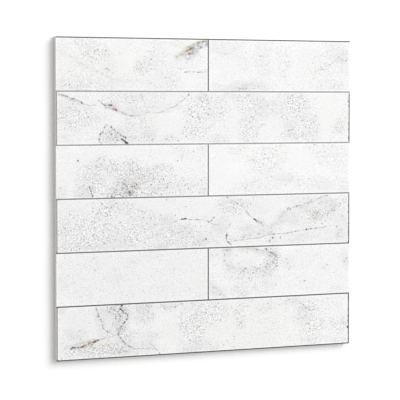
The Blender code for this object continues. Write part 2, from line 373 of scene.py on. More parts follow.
marble["second"] = {
    "shade": 2.3,
    "clouds": [
        (1.3, 50, -88, 97, 5, 3), (1.3, 50, -46, 97, 5, 3), (-1.5, 0, 61, 97, 6, 3),
        (-1.4, 0, -125, 87, 5, 4), (-1.5, 0, -101, 53, 4, 3), (1.4, 50, -143, 54, 5, 4),
        (1.6, 60, -1, 54, 5, 4), (1.3, 50, -105, 76, 7, 4), (1.2, 60, 47, 92, 6, 5),
        (1.5, 50, 10, 97, 50, 3), (1.3, 40, -65, 97, 26, 3), (1.9, 55, 58, 71, 5, 6),
        (1.6, 55, 80, 57, 6, 5), (1.5, 40, -111, 53, 5, 4), (1.4, 60, 3, 69, 6, 6),
        (1.2, 50, 76, 97, 8, 3), (-1.3, 0, -127, 55, 9, 4), (-1.1, 0, -16, 54, 6, 4),
        (-1.2, 0, -100, 90, 5, 4), (-1.3, 0, -34, 78, 7, 4), (2.6, 80, -6, 95, 8, 5),
        (2.6, 80, 92, 95, 9, 5), (1.9, 50, 23, 96, 7, 4), (1.8, 50, -71, 96, 6, 4),
        (2.4, 60, -79, 54, 5, 6), (2.4, 70, 107, 55, 8, 6), (1.8, 65, 112, 68, 6, 7),
        (2.4, 70, 103, 83, 7, 7), (2.1, 50, 144, 77, 4, 8), (2.2, 60, -36, 55, 8, 5),
        (2.1, 60, 50, 80, 7, 7), (1.7, 55, -109, 75, 7, 6), (1.6, 50, -146, 83, 5, 8),
        (1.6, 55, -57, 56, 10, 6), (2.8, 75, -131, 76, 19, 13), (0.7, 50, -137, 86, 14, 6),
        (2.4, 60, -92, 92, 16, 8), (2.7, 50, -72, 66, 17, 16), (1.9, 42, -63, 88, 16, 10),
        (4.2, 75, -96, 57, 9, 8), (2.3, 90, -9, 84, 13, 13), (2.2, 86, -14, 62, 13, 9),
        (2.2, 65, 9, 83, 13, 13), (2.4, 79, 40, 90, 14, 10), (2.7, 75, 42, 66, 11, 15),
        (2.4, 36, 55, 87, 6, 10), (2.4, 100, 92, 90, 16, 9), (2.4, 71, 97, 66, 19, 16),
        (1.9, 58, 83, 75, 9, 9), (2.2, 58, 138, 66, 8, 7), (1.9, 58, -42, 54, 9, 5),
        (1.3, 36, 68, 82, 10, 12), (3.4, 60, 12, 54, 9, 6), (1.9, 55, 67, 83, 12, 11),
        (1.3, 40, 60, 92, 10, 6), (1.3, 29, -134, 56, 14, 6),
    ],
    "calms": [
        (55, -41, 70, 12, 12), (40, -103, 78, 8, 4), (50, 28, 67, 7, 13), (35, 64, 64, 8, 9),
        (65, 125, 79, 9, 20),
    ],
    "tints": [
        ("cream", 5, 130, 78, 18, 15), ("cream", 7, 29, 70, 7, 8), ("cream", 4, -58, 70, 8, 10),
        ("olive", 9, 85, 61, 7, 7), ("olive", 8, 138, 65, 6, 6), ("pink", 6, -59, 58, 6, 5),
        ("lilac", 7, -95, 58, 13, 10), ("lilac", 4, -136, 92, 12, 5), ("tan", 9, -97, 86, 6, 4),
        ("lilac", 7, -80, 80, 10, 5), ("lilac", 4, -40, 85, 18, 4),
    ],
    "veins": [
        # a dark line beside the right end's joint: partly the printed joint line, partly painted
        # contact shade at the panel's right side
        ("black", 62, 0.8, [(148.7, 50.4), (148.7, 98.9)]),
        ("tan", 12, 2.6, [(-149, 97.5), (-144.5, 96), (-140, 95)]),
        ("lilac", 20, 2.0, [(-147, 96.8), (-141, 95.2)]),
        ("slate", 20, 1.2, [(-144.5, 96.3), (-141, 95)]),
        ("lilac", 28, 2.1, [(-143, 95), (-139, 93.5), (-133, 91), (-126, 88)]),
        ("purple", 46, 1.3, [(-141, 95.3), (-139, 94.7), (-136, 92.7), (-132.5, 92.7)]),
        ("purple", 38, 1.2, [
            (-132.5, 92.7), (-128.5, 90.7), (-123, 87.7), (-119, 86.7), (-112, 87),
        ]),
        ("purple", 36, 1.3, [(-109.2, 91.3), (-106.6, 89.6), (-105.3, 88.2)]),
        ("black", 62, 1.4, [(-104.3, 87.4), (-102.2, 86.6), (-99.6, 85.2)]),
        ("violet", 62, 2.0, [(-99.3, 86.6), (-96.5, 86.5), (-94.2, 84.8)]),
        ("pink", 42, 3.8, [(-99, 86), (-95.5, 85), (-91.5, 82.5)]),
        ("violet", 84, 2.2, [(-86.8, 55.2), (-84, 53.4), (-81.6, 51.2)]),
        ("rust", 46, 1.6, [(-99.5, 85), (-97.5, 84.6), (-94, 82.6)]),
        ("purple", 28, 1.2, [(-94, 84.5), (-92.3, 82.2), (-90, 81.2), (-86.5, 80.2)]),
        ("lilac", 26, 1.7, [(-92, 80.5), (-86, 79), (-80, 77), (-73, 76.5)]),
        ("slate", 21, 1.0, [(-86.5, 80.2), (-82, 78.7), (-78, 77), (-70, 77.2), (-66.5, 77)]),
        ("slate", 27, 1.0, [(-66.5, 77), (-61.5, 80.2), (-57, 79.7), (-49, 79.7), (-43, 82.7)]),
        ("slate", 26, 1.1, [(-43, 82.7), (-39, 84.2), (-34, 85.2), (-30.5, 88.2), (-26, 91.2)]),
        ("slate", 35, 1.1, [(-26, 91.2), (-22, 94.2), (-19.8, 96.7), (-19.5, 99)]),
        ("lilac", 8, 2.9, [(-46, 80), (-38, 82), (-31, 86)]),
        ("lilac", 27, 1.2, [(-67.5, 97), (-67, 94.2), (-65, 91.2), (-63.5, 87.7), (-61.5, 81.2)]),
        ("violet", 32, 1.3, [(-107.5, 60), (-105, 62.5)]),
        ("purple", 14, 1.3, [(-105, 62.5), (-103.5, 66), (-102, 70)]),
        ("violet", 12, 1.3, [(-101, 69), (-98.5, 66.5), (-95, 63.7), (-92, 62), (-88.5, 59.5)]),
        ("violet", 44, 1.4, [(-88.5, 59.7), (-86.5, 58.2), (-83, 56.7), (-83.5, 53), (-81, 51)]),
        ("slate", 26, 1.2, [(-107.5, 60), (-108.5, 57), (-108.5, 52.7), (-106, 50.5)]),
        ("slate", 29, 1.0, [(-76.5, 91.2), (-73, 91.2)]),
        ("olive", 36, 1.2, [(82, 62), (86.5, 63)]),
    ],
    "dots": [
        ("iris", 55, 1.6, [
            (-105, 61), (-101.5, 68.5), (-95.5, 65), (-90.5, 61.8), (-85, 57), (-108.3, 55),
            (-92, 58.5), (-87.5, 53), (-97, 59), (-137.5, 94), (-130, 91), (-125.5, 88.8),
            (-141, 95.5),
        ]),
        ("ochre", 48, 1.6, [
            (-98.5, 64.5), (-94, 60.5), (-101, 55.5), (-89, 56.5), (-100, 85), (-93, 84),
            (-103, 66), (-134.5, 92),
        ]),
        ("violet", 84, 2.2, [(-97, 86.6), (-94, 64), (-97, 66.3)]),
        ("black", 54, 2.0, [(-88.6, 59.3), (-82.3, 56.4)]),
        ("violet", 66, 1.7, [(-90, 61.3), (-83, 57), (-92.5, 60)]),
        ("black", 66, 1.5, [
            (-95, 55.5), (-93, 57), (-96.5, 59.5), (-98.5, 61.5), (-91, 54.5), (-99.5, 68),
        ]),
        ("black", 76, 1.8, [(-107.5, 60), (-81, 51.2), (0, 77.9)]),
        ("black", 60, 1.4, [
            (-105, 62.2), (-85.6, 58), (-103.5, 87.4), (-139, 94.7), (-125.8, 89.7), (-19.8, 96.7),
            (1, 83.2), (76.5, 75), (-106, 50.7), (-103, 66.7),
        ]),
        ("rust", 60, 1.7, [(-102.2, 84.2), (-92, 83.6), (-96.5, 84.6), (-94, 83)]),
        ("violet", 84, 1.8, [(-94.8, 84), (-92.3, 82.4)]),
        ("pink", 60, 1.8, [(-136, 91.5), (-94.5, 82)]),
        ("grey", 70, 1.4, [
            (-18.2, 77.5), (-16.2, 75.7), (-21.5, 71.7), (-7, 85.7), (-4, 82.7), (-22.5, 56.7),
            (50.3, 59.5), (88, 91), (-42, 54.2), (-56, 54.2), (45, 75.7), (95, 83.7), (-30.5, 53.5),
            (98, 71.7), (-67.5, 96.7), (92, 53.7), (110, 52.7),
        ]),
        ("grey", 46, 1.3, [
            (-3, 73.7), (-9.5, 73.7), (-8, 93), (-1, 91.7), (-5, 57.2), (32.5, 96.7), (38, 93.2),
            (34.5, 91.2), (42, 96.7), (46, 92.7), (62, 86.2), (66.5, 82.7), (78.5, 76.9),
            (83, 73.2), (83, 94.2), (87.5, 96.2), (94, 92.7), (98, 95.7), (89.2, 79.5),
            (99.8, 71.7), (102, 65.7), (108.3, 68.2), (117, 67.7), (53.5, 68.7), (55.5, 68.2),
            (58, 67.7), (50, 56.7), (35.5, 60.7), (38.5, 61.2), (94, 55.2), (104, 50.4),
            (136, 67.7), (135, 64.7), (142, 65.2), (139, 60.7), (132, 60.2), (145, 74.2),
            (-73.5, 56.2), (-53, 57.7), (-128, 81.2), (-137, 84.7), (-134, 88.2), (-128, 63.7),
            (-119, 68.7), (-78.5, 88.9), (-89.5, 95.7), (-53, 94.7), (-48, 94.2),
        ]),
        ("grey", 30, 1.3, [
            (-143, 79), (-140, 73), (-133, 76), (-124, 78), (-120, 83), (-115, 80), (-146, 86),
            (-141, 66), (-131, 70), (-117, 73), (-112, 78), (-103, 80), (-86, 90), (-82, 94),
            (-94, 92), (-72, 84), (-66, 71), (-60, 66), (-78, 70), (-64, 60), (-70, 54), (-24, 66),
            (-14, 65), (-19, 87), (-12, 90), (-14, 80), (-25, 81), (3, 94), (6, 88), (9, 77),
            (13, 84), (18, 90), (22, 76), (4, 68), (16, 66), (-8, 66), (-18, 60), (10, 58), (2, 52),
            (26, 94), (30, 87), (42, 84), (49, 81), (38, 72), (47, 66), (41, 53), (57, 93),
            (54, 78), (71, 90), (74, 97), (80, 87), (104, 90), (107, 84), (92, 75), (112, 76),
            (86, 69), (94, 62), (106, 60), (114, 60), (99, 57), (130, 66), (133, 55),
        ]),
        ("lilac", 60, 1.4, [
            (-44.5, 93), (-29.5, 90.2), (-108.5, 55), (-100, 57), (-96, 60), (-92, 57), (-90, 54),
            (-99, 63), (-86, 51.5), (-93, 52),
        ]),
        ("olive", 50, 1.6, [(-99, 56)]),
    ],
}

marble["third left"] = {
    "shade": 1.6,
    "clouds": [
        (1.4, 50, -128, 15, 5, 5), (1.7, 60, -117, 18, 6, 6), (1.7, 70, -90, 18, 6, 5),
        (1.5, 80, -62, 8, 7, 5), (0.9, 40, -4, 33, 5, 6), (-1.2, 0, -132, 46, 8, 4),
        (-1.1, 0, -37, 33, 6, 5), (-0.9, 0, -107, 4, 5, 4), (3.8, 60, -126, 5, 8, 6),
        (2.8, 50, -4, 5, 6, 6), (2.6, 40, -146, 5, 6, 6), (2.6, 70, -80, 27, 8, 7),
        (2.6, 80, -98, 4, 8, 5), (2.1, 60, -50, 5, 10, 6), (1.7, 60, -24, 9, 9, 7),
        (2.0, 45, -4, 45, 7, 6), (1.6, 60, -105, 34, 8, 5), (1.6, 80, -102, 28, 14, 7),
        (0.8, 80, -72, 24, 16, 8), (1.7, 60, -112, 26, 20, 11), (2.4, 85, -78, 25, 20, 11),
        (3.3, 100, -66, 10, 26, 12), (2.7, 85, -112, 9, 15, 12), (1.7, 75, -44, 20, 14, 13),
        (1.9, 58, -24, 9, 18, 9), (0.9, 42, -24, 41, 9, 8), (1.3, 21, -146, 8, 8, 8),
        (3.5, 100, -83, 7, 13, 9), (1.9, 42, -50, 28, 12, 5), (0.9, 36, -5, 14, 7, 10),
    ],
    "calms": [
        (35, -95, 45, 34, 5), (40, -42, 40, 6, 9), (35, -138, 21, 8, 9),
    ],
    "tints": [
        ("pink", 7, -65, 20, 8, 8), ("pink", 5, -117, 25, 7, 6), ("olive", 7, -75, 31, 5, 4),
        ("lilac", 6, -82, 9, 10, 9), ("lilac", 7, -115, 7, 5, 7), ("pink", 4, -28, 41, 5, 6),
        ("cream", 3, -40, 46, 30, 5), ("olive", 10, -95, 6, 5, 4), ("pink", 8, -74, 12, 6, 5),
    ],
    "veins": [
        ("purple", 40, 1.2, [(-118.5, 11.5), (-117, 7.5), (-116, 4.5), (-115, 1.5)]),
        ("lilac", 22, 1.3, [(-27, 35), (-26.5, 39), (-26, 42.5)]),
        ("violet", 34, 1.4, [(-86, 15), (-82, 11), (-80, 7), (-79, 3)]),
        ("black", 26, 1.3, [(-88, 2.5), (-84, 4), (-80, 5.5), (-75, 4.5)]),
    ],
    "dots": [
        ("black", 64, 1.5, [
            (-97, 1.6), (-100.5, 2.5), (-91, 3.6), (-94, 1.2), (-76.5, 10.5), (-86, 9),
        ]),
        ("iris", 52, 1.6, [
            (-84, 12), (-80.5, 5.5), (-88.5, 4.5), (-76, 7), (-116.5, 9), (-115.8, 4.5), (-83, 2),
        ]),
        ("ochre", 46, 1.6, [
            (-86, 10.5), (-78.8, 12), (-75, 5.5), (-92.5, 4), (-70, 11), (-95, 27),
        ]),
        ("violet", 88, 2.0, [(-129.2, 35.5)]),
        ("black", 90, 3.2, [(-78.5, 4.3)]),
        ("black", 72, 1.8, [(-115.2, 2.6), (-85.5, 1), (-118, 10.8), (-83.5, 16.3), (-81.5, 10.8)]),
        ("violet", 62, 1.6, [
            (-116.5, 6.8), (-86.5, 14.3), (-82, 7.8), (-83.5, 5.3), (-88, 2.8), (-82, 1.4),
            (-78.5, 6.8), (-96, 1.4), (-91.5, 7.8),
        ]),
        ("brown", 66, 2.0, [(-77.5, 10.3), (-74.5, 10.8), (-73, 8.5)]),
        ("brown", 60, 1.5, [(-101, 27.3), (-73.5, 13.3), (-72, 12.3), (-69.5, 8.8), (-67, 4.8)]),
        ("tan", 60, 1.6, [(-103.5, 27.3)]),
        ("grey", 62, 1.4, [
            (-108, 36.8), (-112.5, 30.3), (-94.5, 31.8), (-97.5, 33.8), (-80, 32.3), (-50.5, 29.3),
            (-53, 28.8), (-55.5, 26.8), (-23.5, 10.8), (-20.5, 7.8), (-7, 15.3), (-4, 18.3),
            (-76, 24.3), (-75.5, 21.8), (-65, 19.6), (-72.5, 1.8), (-15, 42.8), (-31, 34.3),
            (-146, 10.3),
        ]),
        ("grey", 40, 1.4, [
            (-122, 20), (-118, 28), (-125, 12), (-109, 22), (-104, 18), (-97, 24), (-90, 28),
            (-87, 22), (-95, 14), (-101, 10), (-106, 4), (-92, 11), (-99, 4), (-71, 29), (-68, 24),
            (-61, 27), (-58, 22), (-60, 15), (-55, 18), (-51, 22), (-47, 26), (-62, 9), (-56, 6),
            (-50, 12), (-45, 17), (-42, 9), (-38, 14), (-48, 3), (-36, 4), (-31, 10), (-28, 4),
            (-33, 20), (-40, 24), (-16, 4), (-12, 10), (-9, 3), (-17, 13), (-132, 6), (-127, 3),
            (-85, 33), (-46, 31), (-26, 18), (-4, 7), (-61, 3), (-66, 13), (-90, 18), (-79, 18),
            (-70, 18), (-2, 12),
        ]),
        ("lilac", 50, 1.6, [(-114.5, 7.8), (-32.5, 46), (-80, 13), (-84, 9), (-87, 7)]),
        ("olive", 60, 1.8, [(-94, 5.3)]),
    ],
}

marble["third right"] = {
    "shade": 1.2,
    "clouds": [
        (1.0, 25, 4, 17, 4, 7), (-0.9, 0, 78, 20, 7, 4), (-0.8, 0, 26, 27, 9, 7),
        (-0.8, 0, 118, 28, 7, 4), (1.7, 40, 118, 10, 14, 6), (1.5, 40, 146, 7, 5, 6),
        (1.2, 40, 95, 12, 7, 6), (1.2, 40, 137, 24, 8, 6), (1.4, 30, 24, 4, 8, 4),
        (1.7, 65, 62, 33, 17, 11), (1.6, 29, 32, 44, 12, 5), (1.2, 29, 84, 15, 12, 6),
        (0.8, 36, 52, 9, 20, 7), (1.6, 50, 128, 38, 22, 11), (1.3, 29, 40, 8, 8, 7),
        (1.3, 29, 128, 8, 20, 8), (0.7, 36, 70, 22, 12, 8), (0.9, 29, 108, 46, 8, 4),
    ],
    "calms": [
        (55, 19, 23, 16, 15), (50, 97, 36, 11, 11), (30, 120, 25, 10, 6),
    ],
    "tints": [
        ("cream", 9, 33, 45, 10, 5), ("cream", 10, 135, 4, 14, 5), ("olive", 7, 81, 16, 9, 4),
        ("olive", 6, 45, 34, 6, 3), ("cream", 6, 68, 42, 10, 8), ("lilac", 3, 60, 12, 20, 8),
    ],
    "veins": [
        ("olive", 27, 1.2, [(41, 33.8), (44.5, 34), (48, 33.6)]),
        ("lilac", 11, 1.3, [(39, 3), (38.5, 7), (41, 10), (48, 13), (54, 14)]),
        ("grey", 10, 1.3, [(72, 14), (79, 13.5), (86, 14.5), (90, 18)]),
    ],
    "dots": [
        ("grey", 62, 1.5, [(59, 39.3), (63, 35.3), (111.5, 48)]),
        ("grey", 42, 1.4, [
            (33, 43.8), (58.5, 35.3), (66, 32.8), (67, 44.3), (57, 43.8), (76, 34.8), (80.8, 40.3),
            (80.8, 35.6), (93, 20.8), (94.5, 10.8), (95.5, 8.3), (94, 13.8), (74.5, 46.8),
            (117.2, 41), (122, 46.8), (107, 44.8), (65.8, 17.3), (135.5, 15.8), (105.5, 15.3),
        ]),
        ("grey", 24, 1.4, [
            (54.5, 26.3), (63.5, 24.3), (61, 16.3), (52.5, 15.3), (54, 7.8), (42, 3.8), (110, 40.3),
            (124, 35.8), (136, 37.8), (128, 29.3), (137, 25.3), (143, 30.3), (50, 40), (53, 31),
            (47, 24), (70, 39), (72, 29), (58, 20), (75, 25), (66, 10), (72, 6), (80, 9), (88, 5),
            (100, 12), (114, 36), (131, 44), (141, 44), (146, 38), (134, 32), (120, 30), (30, 40),
            (37, 46), (24, 45), (145, 20), (118, 12), (126, 14), (143, 12), (84, 20), (68, 27),
        ]),
        ("pink", 45, 1.8, [(71, 47)]),
        ("olive", 36, 1.6, [(40.5, 9.8), (88, 16)]),
        ("lilac", 40, 1.4, [(38, 6.8)]),
    ],
}

marble["fourth"] = {
    "shade": 2.6,
    "clouds": [
        # the first cloud, broad and lighter, is painted light that evens out the light's falloff on the
        # brick's right side
        (-0.5, 0, 116, -28, 34, 18), (1.2, 50, 129, -4, 6, 3), (1.1, 50, 16, -4, 6, 3),
        (1.8, 60, -54, -46, 7, 4), (1.5, 60, -27, -46, 7, 4), (1.5, 60, -32, -24, 6, 5),
        (-1.3, 0, 40, -15, 6, 5), (-1.3, 0, 6, -4, 6, 4), (2.2, 40, -37, -22, 6, 5),
        (2.0, 60, -48, -47, 24, 3), (1.4, 60, -112, -47, 14, 3), (1.6, 40, 129, -6, 7, 4),
        (1.4, 20, 54, -13, 7, 6), (1.6, 60, -18, -26, 5, 5), (1.4, 30, 88, -4, 7, 4),
        (1.4, 70, -52, -33, 7, 6), (1.4, 35, 12, -34, 6, 6), (1.4, 45, 46, -4, 7, 4),
        (1.3, 35, 98, -16, 6, 5), (1.3, 60, -56, -18, 6, 5), (1.1, 30, 90, -47, 10, 3),
        (1.2, 60, -82, -11, 6, 5), (1.2, 40, 74, -30, 6, 4), (-1.1, 0, -118, -32, 6, 5),
        (3.8, 60, -10, -46, 8, 4), (3.3, 60, -46, -46, 8, 4), (2.6, 40, 66, -46, 7, 4),
        (2.4, 60, -145, -46, 6, 4), (1.9, 60, -128, -46, 7, 4), (2.9, 75, -24, -32, 8, 7),
        (2.6, 40, 106, -29, 8, 5), (2.1, 40, 128, -5, 8, 4), (2.2, 45, 41, -32, 8, 6),
        (2.1, 40, 24, -43, 6, 5), (2.0, 50, 31, -4, 8, 4), (2.0, 80, -145, -27, 6, 12),
        (1.7, 30, 140, -28, 6, 6), (1.5, 40, 74, -32, 7, 5), (1.5, 30, 0, -20, 5, 5),
        (1.7, 45, 6, -46, 7, 4), (1.6, 75, -84, -9, 16, 6), (1.9, 85, -118, -32, 28, 15),
        (1.9, 100, -103, -11, 15, 9), (2.2, 80, -75, -33, 24, 13), (2.2, 65, -50, -22, 15, 5),
        (1.6, 45, 8, -37, 11, 8), (1.6, 50, 60, -34, 9, 5), (1.9, 55, 139, -6, 8, 5),
        (2.2, 75, -30, -36, 24, 10), (1, 85, -136, -22, 12, 10), (1.6, 65, -130, -44, 16, 5),
        (1.9, 58, -72, -16, 12, 7), (2.4, 36, 12, -28, 9, 7), (1.6, 75, 28, -11, 18, 9),
        (1.9, 36, 45, -36, 14, 6), (2.2, 70, 115, -20, 20, 8), (2.4, 29, 82, -24, 14, 7),
        (1.9, 29, 120, -40, 28, 8), (0.9, 29, 92, -44, 14, 5), (1.9, 21, 112, -5, 18, 4),
        (1.9, 36, 132, -14, 8, 6), (1.9, 50, -100, -42, 14, 7), (1.3, 36, 66, -38, 5, 10),
        (1.3, 21, 144, -40, 5, 8), (1.3, 36, -6, -42, 8, 7), (0.9, 29, -98, -4, 20, 4),
    ],
    "calms": [
        (50, -134, -7, 14, 5), (50, -48, -11, 13, 8), (50, -5, -10, 15, 8), (50, 67, -14, 12, 9),
    ],
    "tints": [
        ("olive", 8, -44, -24, 5, 4), ("olive", 4, -130, -14, 7, 4), ("olive", 7, -84, -43, 6, 4),
        ("pink", 5, -42, -2, 7, 3), ("tan", 10, 115, -22, 7, 4), ("lilac", 6, 24, -10, 12, 7),
        ("lilac", 4, 96, -43, 8, 4), ("lilac", 6, 112, -14, 20, 8), ("tan", 6, 98, -11, 7, 3),
        ("lilac", 5, 84, -24, 9, 7), ("brown", 6, 114, -22, 6, 4), ("cream", 3, 62, -8, 16, 8),
        ("lilac", 5, 140, -24, 8, 7), ("olive", 6, 139, -42, 4, 6), ("tan", 7, 132, -12, 5, 5),
        ("cream", 4, -60, -6, 25, 5), ("olive", 7, -12, -45, 6, 3),
    ],
    "veins": [
        # a dark line beside the right end's joint: partly the printed joint line, partly painted
        # contact shade at the panel's right side
        ("black", 62, 0.8, [(148.7, -49.3), (148.7, -0.8)]),
        ("black", 68, 1.5, [(-27.2, -21.6), (-24.5, -21.3), (-22.3, -21)]),
        ("violet", 62, 1.6, [(47.4, -23.4), (49.2, -24.6), (50.6, -25.6)]),
        ("slate", 24, 1.1, [(-34, -24), (-30.5, -22.3), (-27, -21.5)]),
        ("purple", 37, 1.0, [(-27, -21.5), (-18, -21.8), (-11.5, -22.2), (-4, -23), (0.5, -24.8)]),
        ("slate", 27, 1.0, [(0.5, -24.8), (5, -27.5), (12, -28)]),
        ("lilac", 24, 1.2, [(3, -24), (4.5, -22), (6.5, -20)]),
        ("lilac", 27, 1.2, [(25.5, -5.5), (30.5, -8), (33, -9), (37, -11.5), (39, -15.5)]),
        ("purple", 34, 1.1, [(39, -15.5), (42, -19), (45.5, -22), (49, -25)]),
        ("olive", 38, 2.9, [(51.5, -25.6), (54.5, -27), (57.5, -28.3)]),
        ("tan", 9, 3.4, [(52, -24.5), (57, -26.5)]),
        ("brown", 4, 8.0, [(111, -21), (117, -23)]),
        ("purple", 42, 1.4, [(19.5, -36), (18.5, -39.5), (19, -43.5), (21, -45.5), (24, -47.5)]),
        ("purple", 38, 1.1, [
            (27, -43.8), (37, -43), (45, -42), (52, -41.8), (62, -39.2), (67.5, -38.5),
        ]),
        ("purple", 42, 1.0, [
            (67.5, -38.5), (79, -38.3), (91, -36.5), (100, -35.3), (108.5, -34.5),
        ]),
        ("slate", 46, 1.1, [
            (108.5, -34.5), (118.5, -33.8), (132, -31.5), (134, -32), (136.5, -33),
        ]),
        ("lilac", 18, 2.7, [(34, -40.5), (46, -38), (56, -38), (66, -36.5)]),
        ("lilac", 12, 3.4, [(62, -32), (68, -29), (74, -25), (78, -19), (83, -15)]),
        ("tan", 13, 2.2, [(79, -17.5), (86, -14.5), (93, -12), (98, -12), (103, -9.5), (112, -8)]),
        ("purple", 24, 1.2, [(82, -14.5), (88, -13.5), (93, -11.5), (99, -11)]),
        ("lilac", 30, 1.7, [(103, -9), (112, -7), (118, -4), (125, -2)]),
        ("lilac", 18, 1.7, [(125, -22), (129, -18), (134, -15), (139, -12), (146, -9)]),
        ("lilac", 28, 1.4, [(136, -46), (137, -41), (139, -37), (143, -35)]),
    ],
    "dots": [
        ("iris", 50, 1.6, [
            (86, -15.5), (92.5, -12.5), (101, -9.3), (108, -6.5), (117, -10), (124, -13),
            (131, -16.5), (135, -12), (112, -25), (126, -20), (140, -10), (75, -42.5), (64, -44.5),
        ]),
        ("ochre", 46, 1.6, [
            (84, -13), (89.5, -11.5), (97, -13.5), (105, -10), (115, -18.5), (121, -24),
            (130, -11.5), (134, -17.5), (18.8, -40.5), (139.5, -43),
        ]),
        ("black", 78, 1.7, [(20.8, -45.2), (103, -35), (19.5, -1.5), (5.5, -20.8)]),
        ("violet", 78, 1.9, [(67.3, -42.3), (19, -38.5)]),
        ("black", 58, 1.5, [
            (-11.5, -22.2), (30.5, -8), (0.5, -24.8), (83, -37.7), (136.2, -33), (22.5, -46.8),
            (-104, -42), (52, -26),
        ]),
        ("brown", 85, 2.1, [(-2.2, -41)]),
        ("brown", 34, 1.5, [
            (110, -21), (118, -20.5), (121, -22), (112, -18), (79, -17), (131, -14.5), (107, -17),
            (119, -25),
        ]),
        ("rust", 30, 2.4, [(-2.2, -41)]),
        ("rust", 55, 1.6, [(98, -12), (133, -13.5), (18.5, -38)]),
        ("purple", 56, 1.6, [
            (93, -11.5), (63.5, -45.5), (75.5, -41.5), (125.5, -2.5), (-5, -42), (3, -23.8),
            (133.5, -17), (28.5, -16), (-9.2, -46.7), (91, -36.5), (108, -34.6),
        ]),
        ("brown", 45, 1.6, [(83, -14.5), (86, -14.5), (94.5, -13), (-65.5, -19), (-57.5, -19.5)]),
        ("grey", 68, 1.4, [
            (-106.5, -5), (-102, -8.7), (-97, -8.7), (-102, -13.5), (-114.5, -11.5), (-97.5, -16),
            (-102.5, -17), (-91.5, -5), (-145, -31), (-114.5, -34), (-109.5, -38.5), (-118.5, -43),
            (-128, -46.5), (-135.5, -47), (-94.5, -47), (-64.3, -42.7), (43.5, -8.7), (26, -12),
            (16.5, -16.5), (-33.7, -17.7),
        ]),
        ("grey", 48, 1.4, [
            (-143, -26), (-125, -26), (-119, -27), (-111.5, -34.5), (-131, -47.5), (-88, -23),
            (-101, -23.5), (-52, -35), (-56, -36), (-78, -18), (-70, -12), (-66.5, -13),
            (-42, -1.8), (-23, -9.5), (-13, -28), (-17, -31), (-16, -38), (22, -28), (123, -20.2),
            (126, -22), (118.5, -3), (146, -6), (112.5, -29), (120, -29.5), (123.5, -27.5),
            (142, -23), (138.5, -13.5), (129, -12), (105, -4),
        ]),
        ("grey", 32, 1.3, [
            (-148, -38), (-141, -35), (-138, -41), (-145, -44), (-147, -20), (-139, -18),
            (-134, -27), (-131, -34), (-127, -39), (-122, -33), (-124, -20), (-116, -22),
            (-112, -28), (-107, -31), (-105, -25), (-108, -46), (-99, -36), (-97, -30), (-93, -39),
            (-90, -32), (-86, -46), (-84, -28), (-88, -11), (-83, -15), (-80, -24), (-78, -37),
            (-73, -30), (-74, -45), (-68, -34), (-61, -30), (-60, -46), (-54, -26), (-50, -42),
            (-47, -31), (-43, -38), (-39, -29), (-36, -43), (-31, -34), (-28, -40), (-24, -30),
            (-22, -45), (-10, -34), (-8, -29), (-3, -34), (-110, -1.5), (-95, -2), (-76, -6),
            (-120, -6), (-115, -17), (-108, -20), (-92, -18), (15, -8), (20, -20), (34, -4),
            (37, -7), (24, -7), (33, -18), (44, -14), (47, -34), (36, -34), (41, -30), (60, -45),
            (40, -47), (95, -30), (88, -26), (106, -24), (103, -18), (130, -25), (110, -14),
            (100, -46), (112, -42), (125, -45), (130, -38), (74, -33), (84, -44), (-58, -12),
            (-48, -17),
        ]),
        ("lilac", 55, 1.6, [
            (36.5, -41), (52, -37.5), (-42, -3), (138, -40), (141, -37), (119, -9),
        ]),
    ],
}

marble["fifth left"] = {
    "shade": 2.3,
    "clouds": [
        (1.2, 20, -76, -61, 8, 6), (-2.0, 0, -145, -96, 6, 4), (-1.7, 0, -146, -53, 5, 4),
        (-1.3, 0, -132, -96, 7, 4), (-0.9, 0, -130, -53, 8, 4), (1.6, 25, -58, -53, 12, 3),
        (1.0, 20, -146, -78, 5, 10), (0.9, 20, -93, -76, 8, 6), (1.2, 20, -5, -96, 7, 4),
        (0.6, 18, -115, -60, 20, 8), (0.6, 20, -85, -72, 16, 12), (0.3, 18, -135, -82, 12, 6),
        (0.5, 15, -50, -90, 30, 7), (0.5, 15, -30, -66, 22, 8),
    ],
    "calms": [
        (20, -140, -92, 12, 7), (20, -20, -78, 16, 14),
    ],
    "tints": [
        ("cream", 7, -40, -52, 16, 3), ("cream", 6, -65, -58, 8, 5), ("cream", 7, -112, -64, 8, 5),
        ("cream", 7, -95, -73, 8, 6), ("cream", 6, -45, -83, 12, 6), ("cream", 6, -15, -85, 10, 7),
        ("cream", 6, -5, -70, 6, 8), ("cream", 6, -130, -94, 14, 5),
    ],
    "veins": [
        ("lilac", 16, 0.9, [(-118, -61.3), (-115.5, -64.5), (-113, -67.3)]),
        ("grey", 11, 1.2, [(-113.5, -53), (-114.5, -56.5), (-117, -58)]),
        ("grey", 7, 1.2, [(-92, -75), (-90, -82), (-87, -90), (-82, -93)]),
    ],
    "dots": [
        ("grey", 40, 1.4, [(-82, -91.6), (-113.5, -55.3), (-113, -66.8)]),
        ("grey", 24, 1.4, [
            (-138, -70.8), (-147.5, -72.6), (-126.5, -67.3), (-105, -75.3), (-90, -78.3),
            (-94.5, -66.3), (-81.5, -65.3), (-73, -54.8), (-77.5, -60.8), (-93, -80.8),
            (-126, -91.8), (-19, -88.3), (-14, -97.3), (-97.5, -53.8),
        ]),
        ("grey", 12, 1.5, [
            (-140, -60), (-144, -84), (-133, -77), (-120, -84), (-108, -92), (-101, -86),
            (-84, -84), (-70, -76), (-61, -68), (-54, -60), (-66, -88), (-48, -72), (-36, -62),
            (-29, -78), (-41, -93), (-22, -70), (-11, -60), (-30, -54),
        ]),
    ],
}

